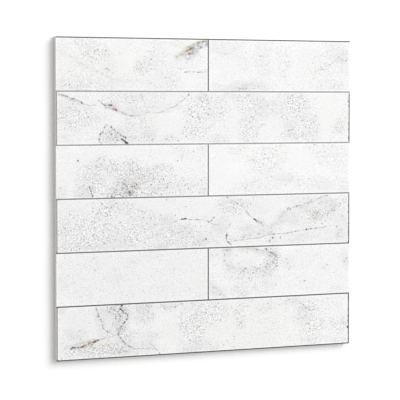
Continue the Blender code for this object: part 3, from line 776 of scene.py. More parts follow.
marble["fifth right"] = {
    "shade": 1.4,
    "clouds": [
        (-0.8, 0, 82, -58, 12, 6), (2.3, 90, 61, -57, 5, 4), (1.6, 25, 38, -66, 8, 4),
        (1.2, 35, 3, -81, 4, 6), (-1.3, 0, 86, -53, 7, 3), (-0.9, 0, 94, -96, 8, 4),
        (5.4, 40, 46, -53, 18, 3.5), (2.4, 35, 4, -54, 5, 5), (2.2, 60, 32, -94, 10, 6),
        (2.3, 50, 5, -91, 7, 7), (1.4, 30, 136, -95, 8, 4), (1.4, 45, 146, -63, 4, 7),
        (1.4, 45, 82, -69, 6, 6), (1.2, 30, 102, -71, 7, 6), (3, 65, 42, -75, 24, 7),
        (4.6, 100, 66, -65, 9, 10), (3.2, 90, 66, -56, 6, 6), (2.4, 42, 20, -64, 5, 9),
        (2.4, 36, 20, -53, 7, 4), (1.6, 42, 44, -88, 24, 8), (1.9, 29, 9, -91, 9, 7),
        (1.3, 29, 84, -66, 7, 7), (1.9, 29, 122, -73, 6, 5), (1.6, 36, 145, -66, 5, 10),
        (0.9, 21, 104, -88, 12, 8), (0.9, 15, 8, -58, 8, 8), (0.9, 21, 110, -62, 12, 6),
        (1.3, 36, 64, -84, 10, 8), (0.9, 21, 40, -60, 14, 5),
    ],
    "calms": [
        (55, 43, -61, 15, 5), (15, 114, -76, 26, 18),
    ],
    "tints": [
        ("pink", 11, 20, -53, 7, 3), ("tan", 14, 45, -52, 9, 2.5), ("tan", 10, 68, -59, 5, 4),
        ("olive", 8, 32, -71, 12, 4), ("lilac", 5, 62, -75, 12, 6), ("cream", 3, 128, -90, 20, 7),
        ("cream", 6, 92, -58, 12, 6), ("olive", 7, 22, -66, 4, 6), ("olive", 4, 146, -66, 4, 6),
    ],
    "veins": [
        ("brown", 24, 1.4, [(15, -52), (19, -52.5), (23, -52)]),
        ("tan", 22, 1.4, [(39, -51.6), (44, -51.8), (49, -52)]),
        ("tan", 44, 1.4, [(49, -52.6), (53, -53.4), (57, -54.8)]),
        ("tan", 60, 2.2, [(66.5, -56.8), (68.8, -58.2), (70.8, -60)]),
        ("rust", 26, 1.6, [(66, -56.5), (69, -58)]),
        ("grey", 11, 1.5, [(17, -55), (16.5, -60), (18, -65), (22, -69)]),
        ("purple", 40, 1.6, [(59, -52.5), (63, -55.5), (67, -57)]),
        ("olive", 15, 1.6, [(24, -69), (31, -71.5), (38.5, -71), (46, -72)]),
        ("grey", 10, 1.8, [(46, -72), (54, -71.5), (60, -68.5), (65, -64.5)]),
        ("grey", 8, 3.1, [(3, -83), (11, -91.8), (18, -98)]),
        ("lilac", 11, 1.2, [(2, -56), (8, -56.3), (14, -55)]),
    ],
    "dots": [
        ("black", 46, 1.3, [
            (61, -64.5), (66, -60), (70.5, -58.5), (66.5, -68.5), (72, -61), (63.5, -68), (58, -63),
        ]),
        ("grey", 74, 1.5, [
            (58, -66), (54, -68), (48, -70), (36, -73), (64, -70), (72, -70), (68, -61),
            (60, -70.5),
        ]),
        ("iris", 40, 1.6, [(64, -58.5), (69.5, -55), (71.5, -66)]),
        ("ochre", 36, 1.6, [(66.5, -60), (61, -54.5), (49.5, -53)]),
        ("black", 80, 2.1, [(60.5, -52.8)]),
        ("black", 62, 1.6, [(63, -55.8), (65, -57), (19, -52.8), (67, -54.8)]),
        ("brown", 60, 1.8, [(68, -57.3), (50.5, -53), (38.5, -71), (101.3, -85.6)]),
        ("grey", 66, 1.5, [
            (63, -61.6), (67, -64.3), (69, -62.6), (71.5, -63.6), (68.5, -66.8), (70, -69.3),
            (62, -67.3), (65, -65.8), (69, -53.8), (144.5, -67.8),
        ]),
        ("grey", 50, 1.4, [
            (54, -71.3), (50, -74.8), (46, -75.6), (58, -74.3), (59, -75.8), (68, -72.8), (31, -80),
            (41.5, -79.8), (33.5, -74.3), (31, -66), (40.5, -55.6), (17, -57), (16.5, -62.3),
            (22, -67), (147, -64.3), (82, -63.3), (83.5, -67.8), (84, -73.3), (122, -73.3),
            (125.5, -70.6),
        ]),
        ("grey", 28, 1.4, [
            (107, -66.3), (114.5, -60.3), (137.5, -69.8), (133, -78.8), (147, -76.8), (96.5, -87.3),
            (103.5, -92.3), (16.5, -78.3), (7, -74.3), (31.8, -89.3), (27, -86.8), (31.5, -92.8),
            (36, -91.8), (27, -75), (36, -77), (44, -83), (52, -80), (63, -72), (72, -67),
            (66, -79), (60, -86), (70, -88), (48, -90), (56, -94), (40, -96), (24, -80), (5, -88),
            (12, -95), (6, -66), (29, -58), (37, -63), (50, -60), (45, -66), (73, -74), (79, -80),
            (90, -70), (112, -84), (119, -63),
        ]),
        ("lilac", 55, 1.6, [(64.5, -77.8), (57, -78.5)]),
    ],
}

marble["sixth"] = {
    "shade": 1.7,
    "clouds": [
        # the first cloud, broad and lighter, is painted light that evens out the light's falloff on the
        # brick's right side
        (-0.4, 0, 118, -124, 34, 22), (-0.8, 0, 51, -103, 8, 4), (1.3, 60, -121, -139, 5, 3),
        (1.2, 60, -74, -129, 5, 4), (1.2, 40, -145, -134, 4, 5), (-1.5, 0, -116, -131, 5, 4),
        (1.5, 60, -86, -119, 4, 4), (1.4, 60, -87, -146, 6, 3), (1.5, 60, -80, -126, 5, 4),
        (1.2, 60, -72, -114, 6, 5), (1.0, 50, -90, -135, 6, 4), (2.1, 60, -84, -122, 5, 4),
        (2.0, 60, -62, -111, 8, 6), (1.9, 60, -77, -103, 6, 4), (1.7, 80, -102, -146, 7, 4),
        (1.7, 55, -10, -140, 8, 5), (1.4, 90, -90, -106, 4, 5), (1.4, 55, 12, -106, 8, 5),
        (1.2, 50, 92, -123, 6, 6), (1.1, 40, -104, -129, 5, 4), (1.1, 45, -53, -133, 7, 5),
        (1.1, 45, -102, -117, 6, 6), (1.1, 30, 76, -103, 8, 3), (-1.3, 0, 120, -139, 6, 4),
        (-1.2, 0, 15, -139, 8, 5), (-1.1, 0, -40, -141, 7, 5), (-1.0, 0, 80, -138, 9, 6),
        (-1.2, 0, -134, -104, 6, 4), (-1.1, 0, -6, -117, 5, 5), (4.6, 90, -98, -104, 7, 5),
        (4.4, 90, -92, -145, 10, 4), (2.8, 90, -120, -141, 9, 5), (1.7, 60, -133, -142, 6, 4),
        (2.0, 55, -60, -142, 8, 5), (4.2, 70, -64, -103, 10, 4), (4.0, 40, -146, -103, 5, 4),
        (2.9, 50, -15, -103, 9, 4), (2.7, 60, -16, -146, 10, 4), (2.7, 60, -87, -121, 5, 5),
        (2.6, 50, -40, -103, 9, 4), (2.3, 40, -106, -125, 6, 6), (2.4, 40, 88, -103, 9, 4),
        (2.1, 50, 2, -145, 8, 4), (1.6, 40, 38, -103, 8, 4), (1.6, 40, 137, -146, 8, 4),
        (1.4, 70, -26, -118, 5, 14), (1.8, 80, -83, -132, 8, 8), (2.4, 36, -107, -112, 7, 12),
        (2.2, 100, -92, -108, 9, 10), (3, 70, -86, -107, 5, 8), (2.4, 75, -86, -119, 6, 8),
        (2.2, 65, -95, -128, 8, 7), (2.4, 90, -108, -142, 32, 7), (2.4, 42, -70, -143, 18, 5),
        (2.4, 36, -132, -125, 12, 6), (2.4, 58, -66, -108, 13, 10), (1.9, 36, -66, -132, 16, 7),
        (1.9, 50, -38, -104, 14, 5), (1.4, 80, -16, -124, 14, 18), (1.6, 75, 4, -112, 16, 12),
        (0.9, 42, 31, -110, 8, 6), (1.9, 58, 34, -122, 7, 6), (1.6, 36, 60, -108, 12, 6),
        (1.9, 75, 103, -112, 13, 10), (1.5, 90, 110, -131, 12, 9), (1.7, 75, 140, -130, 11, 9),
        (1.9, 50, 110, -144, 14, 5), (1.3, 42, -18, -142, 14, 7), (0.6, 36, 8, -143, 12, 4),
        (1.3, 29, 92, -106, 10, 6), (0.9, 21, -130, -110, 16, 10), (0.6, 36, 128, -110, 14, 7),
    ],
    "calms": [
        (45, -130, -111, 14, 7), (45, -42, -126, 9, 15),
    ],
    "tints": [
        ("cream", 6, 45, -138, 40, 11), ("cream", 4, 60, -124, 70, 20),
        ("lilac", 7, 101, -118, 10, 9), ("lilac", 7, -92, -108, 9, 9),
        ("olive", 8, -92, -124, 6, 7), ("olive", 5, 29, -112, 4, 5),
        ("lilac", 7, -108, -110, 5, 10), ("lilac", 5, -128, -127, 14, 5),
        ("tan", 7, -57, -131, 7, 4), ("pink", 5, -12, -120, 8, 10), ("tan", 11, -120, -136, 20, 4),
        ("cream", 7, -40, -135, 12, 12), ("lilac", 5, -90, -140, 20, 6),
        ("olive", 4, 143, -128, 7, 6), ("pink", 6, 104, -112, 6, 4),
    ],
    "veins": [
        # a dark line beside the right end's joint: partly the printed joint line, partly painted
        # contact shade at the panel's right side
        ("black", 62, 0.8, [(148.7, -148.9), (148.7, -100.4)]),
        ("purple", 15, 1.3, [
            (-112, -101), (-111.5, -104), (-109.5, -108), (-109.5, -111), (-107, -114),
        ]),
        ("lilac", 20, 1.3, [
            (-107, -114), (-105.5, -118), (-104.5, -122), (-100, -125.5), (-96, -127.5),
        ]),
        ("violet", 50, 1.8, [(-87, -100.5), (-87.5, -104.5), (-85.5, -107), (-82.5, -108.5)]),
        ("violet", 46, 1.6, [
            (-82.5, -108.5), (-81, -111), (-81.3, -114), (-84, -117.5), (-87.5, -120.5),
        ]),
        ("brown", 34, 1.6, [(-87.5, -120.5), (-89, -124), (-90.5, -128), (-88, -131.5)]),
        ("purple", 32, 1.2, [
            (-88, -131), (-86, -134.5), (-82.5, -137.5), (-79, -140), (-75, -142.5),
        ]),
        ("lilac", 34, 1.2, [(-75, -142.5), (-69, -142.5), (-60, -142.7), (-55.5, -141.7)]),
        ("purple", 36, 1.2, [(-55.5, -141.7), (-53, -143.7), (-51, -145.7), (-49.5, -148.4)]),
        ("lilac", 8, 3.4, [(-84, -103), (-79.5, -109), (-79.5, -115), (-84, -120)]),
        ("black", 52, 1.8, [(-137, -139.2), (-134.5, -138.3), (-131, -138), (-127.5, -138)]),
        ("brown", 44, 1.8, [(-127.5, -138.3), (-121, -136.4), (-115, -134.1), (-110, -132.4)]),
        ("black", 30, 1.4, [(-124, -137), (-118.5, -135), (-113, -133.4)]),
        ("rust", 26, 2.4, [(-126, -137.4), (-118, -134.6), (-111, -132.4)]),
        ("brown", 38, 1.3, [(-113.5, -133.7), (-110, -132.2), (-107, -131.5), (-103, -130.9)]),
        ("lilac", 14, 2.9, [(-140, -137), (-132, -135.5), (-124, -134), (-114, -131)]),
        ("lilac", 21, 1.2, [(-103, -131), (-97, -129), (-91, -128.5)]),
        ("pink", 24, 1.2, [(-16, -134.7), (-12, -134.9), (-9, -134.5)]),
        ("olive", 21, 1.2, [(55, -110.7), (61, -110.3), (68, -111)]),
        ("lilac", 18, 1.4, [(93, -104), (98, -108), (104, -112), (111, -114.5), (117, -115)]),
        ("grey", 11, 1.1, [
            (67, -124.5), (70, -125.5), (70, -128), (67.5, -128.5), (66.5, -126), (67, -124.5),
        ]),
    ],
    "dots": [
        ("black", 46, 1.4, [
            (-98, -103), (-94, -101.6), (-91, -106), (-99, -106.5), (-96, -104.6), (-101, -102),
        ]),
        ("pink", 70, 1.6, [
            (-91, -137), (-87, -140), (-93.5, -142), (-84, -144), (-97, -139.5), (-58, -139),
        ]),
        ("iris", 56, 1.6, [
            (-111.5, -104), (-109.8, -109), (-107.5, -113), (-105.5, -119), (-101, -124.5),
            (-88.5, -102.5), (-83, -108.5), (-81, -113), (-85.5, -117.5), (-86, -134),
            (-83.5, -136.8), (-78, -140.2), (-130, -139), (-124, -138.5), (-116, -136), (-93, -111),
            (-95, -104),
        ]),
        ("ochre", 50, 1.6, [
            (-89, -103.8), (-86.5, -109.5), (-90, -115), (-91.5, -123), (-90.5, -127), (-96, -119),
            (-136.5, -138.2), (-127, -136.8), (-119, -133.8), (-112, -131.8), (-100, -137),
            (-105, -141),
        ]),
        ("violet", 84, 2.2, [(-88.2, -104.5)]),
        ("violet", 76, 1.8, [(-85.6, -106), (-82, -114.2)]),
        ("black", 92, 2.2, [(148.2, -133.4)]),
        ("violet", 82, 1.9, [(-84.5, -116.8), (-86.5, -100.9), (-134.8, -137.6)]),
        ("black", 68, 1.6, [
            (12.5, -119.5), (-129.5, -138), (-93, -112.7), (-80, -139.5), (-109.5, -110.2),
            (-125, -137.6),
        ]),
        ("violet", 50, 1.5, [
            (-81.2, -110.2), (-89.5, -126.2), (-84.8, -135.2), (-97, -102.2), (-97, -108.7),
            (-105, -121.2), (-109.5, -107.7), (-111.5, -102.7), (-106, -114.7), (-100, -125.2),
            (-145.5, -147.7), (35.5, -121.7), (-90, -109), (-94, -105),
        ]),
        ("rust", 60, 1.8, [(-90, -128)]),
        ("brown", 55, 1.6, [(-110, -132.2), (-49.5, -148), (-88.5, -122.2)]),
        ("grey", 66, 1.4, [
            (-61, -107.7), (-61, -114.2), (-64.2, -119), (-45.5, -103.7), (-33.5, -104.9),
            (-28, -101.9), (-26.5, -102.2), (-22, -118.7), (-17, -113.7), (33.5, -123.2),
            (30.5, -119), (35, -127.2), (100, -109), (106, -127.7), (103, -127.7), (107.5, -132.7),
            (61.8, -106.2), (120, -127.7), (113.5, -142.7), (-133.5, -141.7),
        ]),
        ("grey", 46, 1.4, [
            (-44.5, -105.7), (-38.5, -108.7), (-13, -116.7), (-19, -140.7), (-18.5, -137.2),
            (-28, -123), (-2.5, -111.7), (-1, -120.2), (6.5, -106.7), (7.5, -109.7), (2.5, -113.7),
            (13.5, -114.2), (20.5, -115.2), (28.5, -110.7), (32.5, -106.5), (35.5, -111.2),
            (32, -114.4), (40.5, -107.4), (35, -124.2), (55, -112.2), (46.5, -102), (88.5, -105.7),
            (85, -103), (106.5, -105.7), (107, -114.2), (110.5, -114.5), (115.5, -113.2),
            (122, -125.9), (119.5, -130.7), (137, -138.7), (106, -144.2), (112, -147.9),
            (2.5, -142.7), (4.5, -145.2), (15.5, -143.7), (26.5, -146.2), (27, -136.2),
            (-127, -130.5), (-98, -137.7), (-91.5, -141.7),
        ]),
        ("grey", 30, 1.4, [
            (-142, -138), (-141, -143), (-138, -146), (-128, -144), (-123, -141), (-119, -146),
            (-114, -140), (-110, -145), (-105, -138), (-103, -144), (-97, -147), (-94, -137),
            (-90, -146), (-86, -142), (-100, -133), (-120, -128), (-128, -123), (-136, -127),
            (-73, -104), (-69, -109), (-74, -113), (-66, -115), (-57, -103), (-55, -111),
            (-72, -128), (-65, -131), (-58, -136), (-52, -130), (-62, -147), (-71, -147),
            (-24, -107), (-20, -124), (-15, -129), (-9, -124), (-7, -117), (-11, -108), (-5, -131),
            (-13, -140), (-8, -146), (-25, -133), (-29, -115), (-4, -104), (0, -116), (5, -119),
            (10, -103), (16, -109), (18, -121), (24, -107), (38, -117), (52, -106), (66, -104),
            (75, -108), (90, -113), (96, -116), (99, -122), (104, -119), (112, -120), (118, -119),
            (124, -114), (110, -138), (104, -136), (99, -143), (118, -138), (124, -133),
            (130, -128), (134, -133), (141, -135), (146, -128), (131, -108), (126, -104), (8, -147),
            (20, -140), (-96, -117), (-90, -116),
        ]),
        ("pink", 55, 1.8, [(-62, -102.2), (-12, -112.7), (104.5, -112.7)]),
        ("lilac", 50, 1.6, [(94.5, -123.2), (-88, -111), (-86, -112)]),
        ("olive", 45, 1.8, [(144.5, -129.2), (30, -113)]),
    ],
}


# An sRGB hex colour as three numbers from 0 to 1
def hexParts(hexColour):
    return np.array([int(hexColour[place:place + 2], 16) / 255 for place in (1, 3, 5)])


def linear(values):
    values = np.asarray(values, float)
    return np.where(values <= 0.04045, values / 12.92, ((values + 0.055) / 1.055) ** 2.4)


def linearHex(hexColour):
    return (*linear(hexParts(hexColour)), 1.0)


# How the marks are drawn. Clouds, tints and wide veins are painted softly on the points of the mesh.
# Fine marks are kept there in passes, and the film's shader draws them finer than the mesh is.
drawing = {
    "cloudWander": 4.5,       # mm, how far the edges of clouds wander, and over what length
    "cloudLength": 14.0,
    "cloudFull": 0.55,        # of its oval's half size, how far out a cloud is full and where it ends
    "cloudEnd": 1.45,
    "widestFine": 2.3,        # mm, wider marks are painted softly
    "passes": 6,
    "clearance": 6.5,         # mm between the marks of one pass
    "stepLength": 1.5,        # mm, how closely a vein is walked to measure that
    "farAway": 1000.0,        # mm, further off than any mark
    "lostGap": 3.0,           # mm, a point nearly as near to two marks of a pass draws neither
    "sureGap": 4.5,
    "veinBeads": 1.0,         # how much a vein's strength varies, and over what length
    "beadLength": 2.8,
    "leastBead": 0.1,         # times the strength that the vein is given, at least and at most
    "mostBead": 1.9,
    "leastGrain": 0.29,       # of the full grain, where no cloud is
    "paintedEdgeHighlight": 0.04,        # painted highlight along the pressed edges of the bricks: how much lighter, over so many mm
    "paintedEdgeHighlightWidth": 1.6,
}


def noiseField(x, y, length, seed):
    field = np.empty(len(x))
    for n in range(len(x)):
        field[n] = noise.noise(Vector((x[n] / length, y[n] / length, seed)))
    return field


# The way to every point from the nearest place on a path, or from its only place, and its length
def wayFrom(path, x, y):
    wayX, wayY = x - path[0][0], y - path[0][1]
    nearest = np.hypot(wayX, wayY)
    for (x0, y0), (x1, y1) in zip(path, path[1:]):
        dx, dy = x1 - x0, y1 - y0
        along = np.clip(((x - x0) * dx + (y - y0) * dy) / (dx * dx + dy * dy), 0, 1)
        offX, offY = x - x0 - along * dx, y - y0 - along * dy
        gap = np.hypot(offX, offY)
        nearer = gap < nearest
        wayX, wayY = np.where(nearer, offX, wayX), np.where(nearer, offY, wayY)
        nearest = np.where(nearer, gap, nearest)
    return wayX, wayY, nearest


# A cloud is full in its middle, half as strong along its oval and gone a little way outside it.
def ovalCover(oval, x, y):
    middleX, middleY, halfX, halfY = oval
    reach = np.hypot((x - middleX) / halfX, (y - middleY) / halfY)
    fade = np.clip((drawing["cloudEnd"] - reach) / (drawing["cloudEnd"] - drawing["cloudFull"]), 0, 1)
    return fade * fade * (3 - 2 * fade)


def layInk(sheet, chosen, inkName, cover):
    ink = hexParts(inks[inkName])
    cover = np.clip(cover, 0, 1)[:, None]
    sheet["ink"][chosen] *= 1 - cover * (1 - ink)


# A soft mark is darkest on its line and half as dark at half its width from it.
def paintSoftly(sheet, chosen, mark, x, y, beads):
    inkName, strength, width, path = mark
    distance = wayFrom(path, x, y)[2]
    layInk(sheet, chosen, inkName, 2 ** -((2 * distance / width) ** 2) * beads * strength / 100)


# Places along a path, no more than a step apart
def stepsAlong(path):
    places = [path[0]]
    for (x0, y0), (x1, y1) in zip(path, path[1:]):
        steps = max(1, math.ceil(math.hypot(x1 - x0, y1 - y0) / drawing["stepLength"]))
        for n in range(1, steps + 1):
            places.append((x0 + (x1 - x0) * n / steps, y0 + (y1 - y0) * n / steps))
    return np.array(places)


def gapBetween(first, second):
    apart = first[:, None] - second[None]
    return np.hypot(apart[..., 0], apart[..., 1]).min()


# Shares out the fine marks, veins first, so that those of one pass keep clear of each other.
def sharePasses(marks):
    passes = [[] for n in range(drawing["passes"])]
    for mark in sorted(marks, key=lambda mark: (len(mark[3]) == 1, -mark[1])):
        steps = stepsAlong(mark[3])
        gaps = []
        for group in passes:
            toOthers = [gapBetween(steps, other) for other, taken in group]
            gaps.append(min(toOthers, default=drawing["farAway"]))
        clear = [n for n, gap in enumerate(gaps) if gap > drawing["clearance"]]
        passes[clear[0] if clear else gaps.index(max(gaps))].append((steps, mark))
    return [[mark for steps, mark in group] for group in passes]


# Keeps on every point the way to the nearest mark of a pass, half its width, its ink and strength.
def keepPass(sheet, chosen, marks, number, x, y, beads):
    nearest = np.full(len(x), drawing["farAway"])
    second = nearest.copy()
    way = sheet["ways"][number][chosen]
    ink = sheet["wayInks"][number][chosen]
    for inkName, strength, width, path in marks:
        wayX, wayY, gap = wayFrom(path, x, y)
        nearer = gap < nearest
        second = np.where(nearer, nearest, np.minimum(second, gap))
        nearest = np.where(nearer, gap, nearest)
        way[nearer] = np.stack([wayX, wayY, np.full(len(x), width / 2)], axis=1)[nearer]
        ink[nearer, :3] = linear(hexParts(inks[inkName]))
        ink[nearer, 3] = strength / 100 * (beads[nearer] if len(path) > 1 else 1)
    sure = (second - nearest - drawing["lostGap"]) / (drawing["sureGap"] - drawing["lostGap"])
    ink[:, 3] = np.clip(ink[:, 3] * np.clip(sure, 0, 1), 0, 1)
    sheet["ways"][number][chosen] = way
    sheet["wayInks"][number][chosen] = ink


# Paints a highlight into the ink along every brick's edges, lightest at the edge and gone a little way
# inside.
def paintEdgeHighlights(sheet, chosen, x, y):
    inside = np.minimum(np.minimum(x - x.min(), x.max() - x), np.minimum(y - y.min(), y.max() - y))
    edge = np.clip(1 - inside / drawing["paintedEdgeHighlightWidth"], 0, 1)
    sheet["ink"][chosen] *= 1 + drawing["paintedEdgeHighlight"] * edge[:, None]


# What is added to the seed gives each noise a pattern of its own.
def printBrick(sheet, chosen, marks, seed):
    x, y = sheet["x"][chosen], sheet["y"][chosen]
    paintEdgeHighlights(sheet, chosen, x, y)
    cloudX = x + drawing["cloudWander"] * noiseField(x, y, drawing["cloudLength"], seed)
    cloudY = y + drawing["cloudWander"] * noiseField(x, y, drawing["cloudLength"], seed + 31.7)
    beads = 1 + 2 * drawing["veinBeads"] * noiseField(x, y, drawing["beadLength"], seed + 12.9)
    beads = np.clip(beads, drawing["leastBead"], drawing["mostBead"])
    grain = np.full(len(x), drawing["leastGrain"])
    sheet["ink"][chosen] *= 1 - marks["shade"] / 100
    for grey, grainStrength, *oval in marks["clouds"]:
        cover = ovalCover(oval, cloudX, cloudY)
        sheet["ink"][chosen] *= 1 - (cover * grey / 100)[:, None]
        grain = np.maximum(grain, cover * grainStrength / 100)
    for strength, *oval in marks["calms"]:
        grain *= 1 - ovalCover(oval, cloudX, cloudY) * strength / 100
    sheet["grain"][chosen] = grain
    for inkName, strength, *oval in marks["tints"]:
        layInk(sheet, chosen, inkName, ovalCover(oval, cloudX, cloudY) * strength / 100)
    dots = [(*look, [place]) for *look, places in marks["dots"] for place in places]
    fineMarks = []
    for mark in marks["veins"] + dots:
        if mark[2] > drawing["widestFine"]:
            paintSoftly(sheet, chosen, mark, x, y, beads)
        else:
            fineMarks.append(mark)
    for number, group in enumerate(sharePasses(fineMarks)):
        keepPass(sheet, chosen, group, number, x, y, beads)


# Every brick's outline on the face, in millimetres, with the name of its print
def brickPlaces():
    names = iter(marble)
    edge, width, height = jointMouth / mm, halfWidth / mm, coursePitch / mm
    for course in range(panel["courses"]):
        high = jointHeights[course] / mm
        spans = [(-width, -edge), (edge, width)] if course % 2 == 0 else [(-width, width)]
        for left, right in spans:
            yield next(names), left, right, high - height + edge, high - edge


# The greys along the joints: from the top edge down, upright in every other course, and at the left and
# right ends of the whole bricks. They are the print's grey, but the bottom edge's and the right ends'
# are darker as painted contact shade, and the left ends' lighter as painted light.
shadedJointGreys = {
    "across": ["#4a4a4a", "#989898", "#9b9b9b", "#868686", "#707070", "#5a5a5a", "#3c3c3c"],
    "upright": ["#6e6e6e", "#808080", "#686868"],
    # left end lighter as painted light, right end darker as painted contact shade
    "ends": ["#a2a2a2", "#2c2c2c"],
}


def shadedJointGrey(x, y):
    nearest = min(range(len(jointHeights)), key=lambda number: abs(y - jointHeights[number]))
    if abs(y - jointHeights[nearest]) < jointMouth + samePlace:
        return shadedJointGreys["across"][nearest]
    if abs(x) > halfWidth / 2:
        return shadedJointGreys["ends"][int(x > 0)]
    return shadedJointGreys["upright"][courseOf(y) // 2]


# Blank film: no ink, and the way to the nearest fine mark longer than any mark is wide
def blankSheet(places):
    count = len(places)
    return {
        "x": places[:, 0],
        "y": places[:, 1],
        "ink": np.ones((count, 3)),
        "grain": np.zeros(count),
        "ways": np.tile((9.0, 9.0, 0.5), (drawing["passes"], count, 1)),
        "wayInks": np.zeros((drawing["passes"], count, 4)),
    }


def keepAttribute(piece, name, kind, field, values):
    attribute = piece.data.attributes.new(name, kind, "POINT")
    attribute.data.foreach_set(field, np.ascontiguousarray(values).ravel())


# The order of the tile's finishes
filmIndex, jointIndex, sawnIndex, backIndex = range(4)


def printMarble(piece):
    places = pointPlaces(piece) / mm
    sheet = blankSheet(places)
    slack = samePlace / mm
    onFace = places[:, 2] > top / mm - slack
    for number, (name, left, right, low, high) in enumerate(brickPlaces()):
        across = (sheet["x"] > left - slack) & (sheet["x"] < right + slack)
        up = (sheet["y"] > low - slack) & (sheet["y"] < high + slack)
        chosen = np.flatnonzero(onFace & across & up)
        printBrick(sheet, chosen, marble[name], 10.0 * number)
        print("printed the", name, "brick on", len(chosen), "points")
    ink = np.ones((len(places), 4))
    ink[:, :3] = linear(sheet["ink"])
    # the joints' printed grey, with painted shade and light at the panel's edges
    jointInkAndShade = np.ones((len(places), 4))
    for face in piece.data.polygons:
        if face.material_index == jointIndex:
            for point in face.vertices:
                jointInkAndShade[point] = linearHex(shadedJointGrey(places[point, 0] * mm, places[point, 1] * mm))
    keepAttribute(piece, "ink", "FLOAT_COLOR", "color", ink)
    keepAttribute(piece, "jointInkAndShade", "FLOAT_COLOR", "color", jointInkAndShade)
    keepAttribute(piece, "grain", "FLOAT", "value", sheet["grain"])
    for number in range(drawing["passes"]):
        keepAttribute(piece, f"way{number}", "FLOAT_VECTOR", "vector", sheet["ways"][number])
        keepAttribute(piece, f"wayInk{number}", "FLOAT_COLOR", "color", sheet["wayInks"][number])


# Adds one node with its settings, its inputs' values and the links into it.
def addNode(tree, kind, place, settings=None, values=None, links=None):
    node = tree.nodes.new(kind)
    node.location = place
    for name, value in (settings or {}).items():
        setattr(node, name, value)
    for name, value in (values or {}).items():
        node.inputs[name].default_value = value
    for name, source in (links or {}).items():
        tree.links.new(source, node.inputs[name])
    return node


def newMaterial(name):
    material = bpy.data.materials.new(name)
    material.use_nodes = True
    return material, material.node_tree, material.node_tree.nodes["Principled BSDF"]


pvcIor = 1.53
noiseLow, noiseHigh = 0.3, 0.7        # nearly all of a noise texture lies between these

# PVC decor film: a white film printed as marble and pressed on the board. The print gives the grey
# clouds and speckle, its ink also holds a painted highlight along the bricks' edges, and the film over
# it an even satin sheen with a faint orange peel.
film = {
    "white": "#e8e8e8",
    "grainLength": 1.3,       # mm, coarser than the real print's raster, so that it shows
    "grainDepth": 0.37,       # how much the grain darkens and lightens where it is fullest
    "flyspeckLength": 2.05,   # mm, from one flyspeck to the next
    "flyspeckCore": 0.14,     # of that length, how far out a flyspeck is full and where it ends
    "flyspeckEdge": 0.42,
    "flyspeckDark": 0.8,      # where the grain is fullest
    "flyspeckMissing": 0.25,  # the share left out, and the share that isn't at full strength
    "flyspeckFaint": 0.95,
    "flyspeckPurple": "#6c6074",
    "flyspeckOlive": "#787562",
    "markFull": 0.4,          # of half its width, how far out a fine mark is full and where it ends
    "markEnd": 1.4,
    "markSway": 0.9,          # mm, how far the fine marks sway from their lines
    "markSwayLength": 1.7,
    "roughness": 0.42,
    "roughnessSway": 0.05,
    "peelLength": 1.6,
    "peelDepth": 0.004 * mm,
}


# The print's fine grain, lighter and darker by turns, and flyspecks in the busy clouds, some purple
# and some olive
def drawGrain(tree, colour, place):
    grain = addNode(tree, "ShaderNodeAttribute", (-1900, -1200), {"attribute_name": "grain"})
    fine = addNode(
        tree, "ShaderNodeTexNoise", (-1900, -1400), None,
        {"Scale": 1 / (film["grainLength"] * mm), "Detail": 2.0, "Roughness": 0.55}, {"Vector": place},
    )
    sway = addNode(
        tree, "ShaderNodeMapRange", (-1700, -1400), None,
        {
            "From Min": noiseLow, "From Max": noiseHigh,
            "To Min": -film["grainDepth"], "To Max": film["grainDepth"],
        },
        {"Value": fine.outputs["Fac"]},
    )
    tone = addNode(
        tree, "ShaderNodeMath", (-1500, -1300), {"operation": "MULTIPLY_ADD"}, {2: 1.0},
        {0: sway.outputs["Result"], 1: grain.outputs["Fac"]},
    )
    toned = addNode(
        tree, "ShaderNodeVectorMath", (-1300, -1200), {"operation": "SCALE"}, None,
        {0: colour, "Scale": tone.outputs[0]},
    )
    flyspeck = addNode(
        tree, "ShaderNodeTexVoronoi", (-1900, -1700), None,
        {"Scale": 1 / (film["flyspeckLength"] * mm)}, {"Vector": place},
    )
    spot = addNode(
        tree, "ShaderNodeMapRange", (-1700, -1700), {"interpolation_type": "SMOOTHSTEP"},
        {
            "From Min": film["flyspeckEdge"], "From Max": film["flyspeckCore"],
            "To Min": 0.0, "To Max": film["flyspeckDark"],
        },
        {"Value": flyspeck.outputs["Distance"]},
    )
    chance = addNode(
        tree, "ShaderNodeSeparateColor", (-1700, -1950), None, None, {0: flyspeck.outputs["Color"]},
    )
    strength = addNode(
        tree, "ShaderNodeMapRange", (-1500, -1850), {"interpolation_type": "SMOOTHSTEP"},
        {"From Min": film["flyspeckMissing"], "From Max": film["flyspeckFaint"]},
        {"Value": chance.outputs["Red"]},
    )
    speck = addNode(
        tree, "ShaderNodeMath", (-1300, -1750), {"operation": "MULTIPLY"}, None,
        {0: spot.outputs["Result"], 1: strength.outputs["Result"]},
    )
    cover = addNode(
        tree, "ShaderNodeMath", (-1100, -1650), {"operation": "MULTIPLY", "use_clamp": True}, None,
        {0: speck.outputs[0], 1: grain.outputs["Fac"]},
    )
    ink = addNode(
        tree, "ShaderNodeMix", (-1300, -1950), {"data_type": "RGBA"},
        {6: linearHex(film["flyspeckPurple"]), 7: linearHex(film["flyspeckOlive"])},
        {0: chance.outputs["Green"]},
    )
    specked = addNode(
        tree, "ShaderNodeMix", (-900, -1300), {"data_type": "RGBA", "blend_type": "MULTIPLY"}, None,
        {0: cover.outputs[0], 6: toned.outputs[0], 7: ink.outputs[2]},
    )
    return specked.outputs[2]


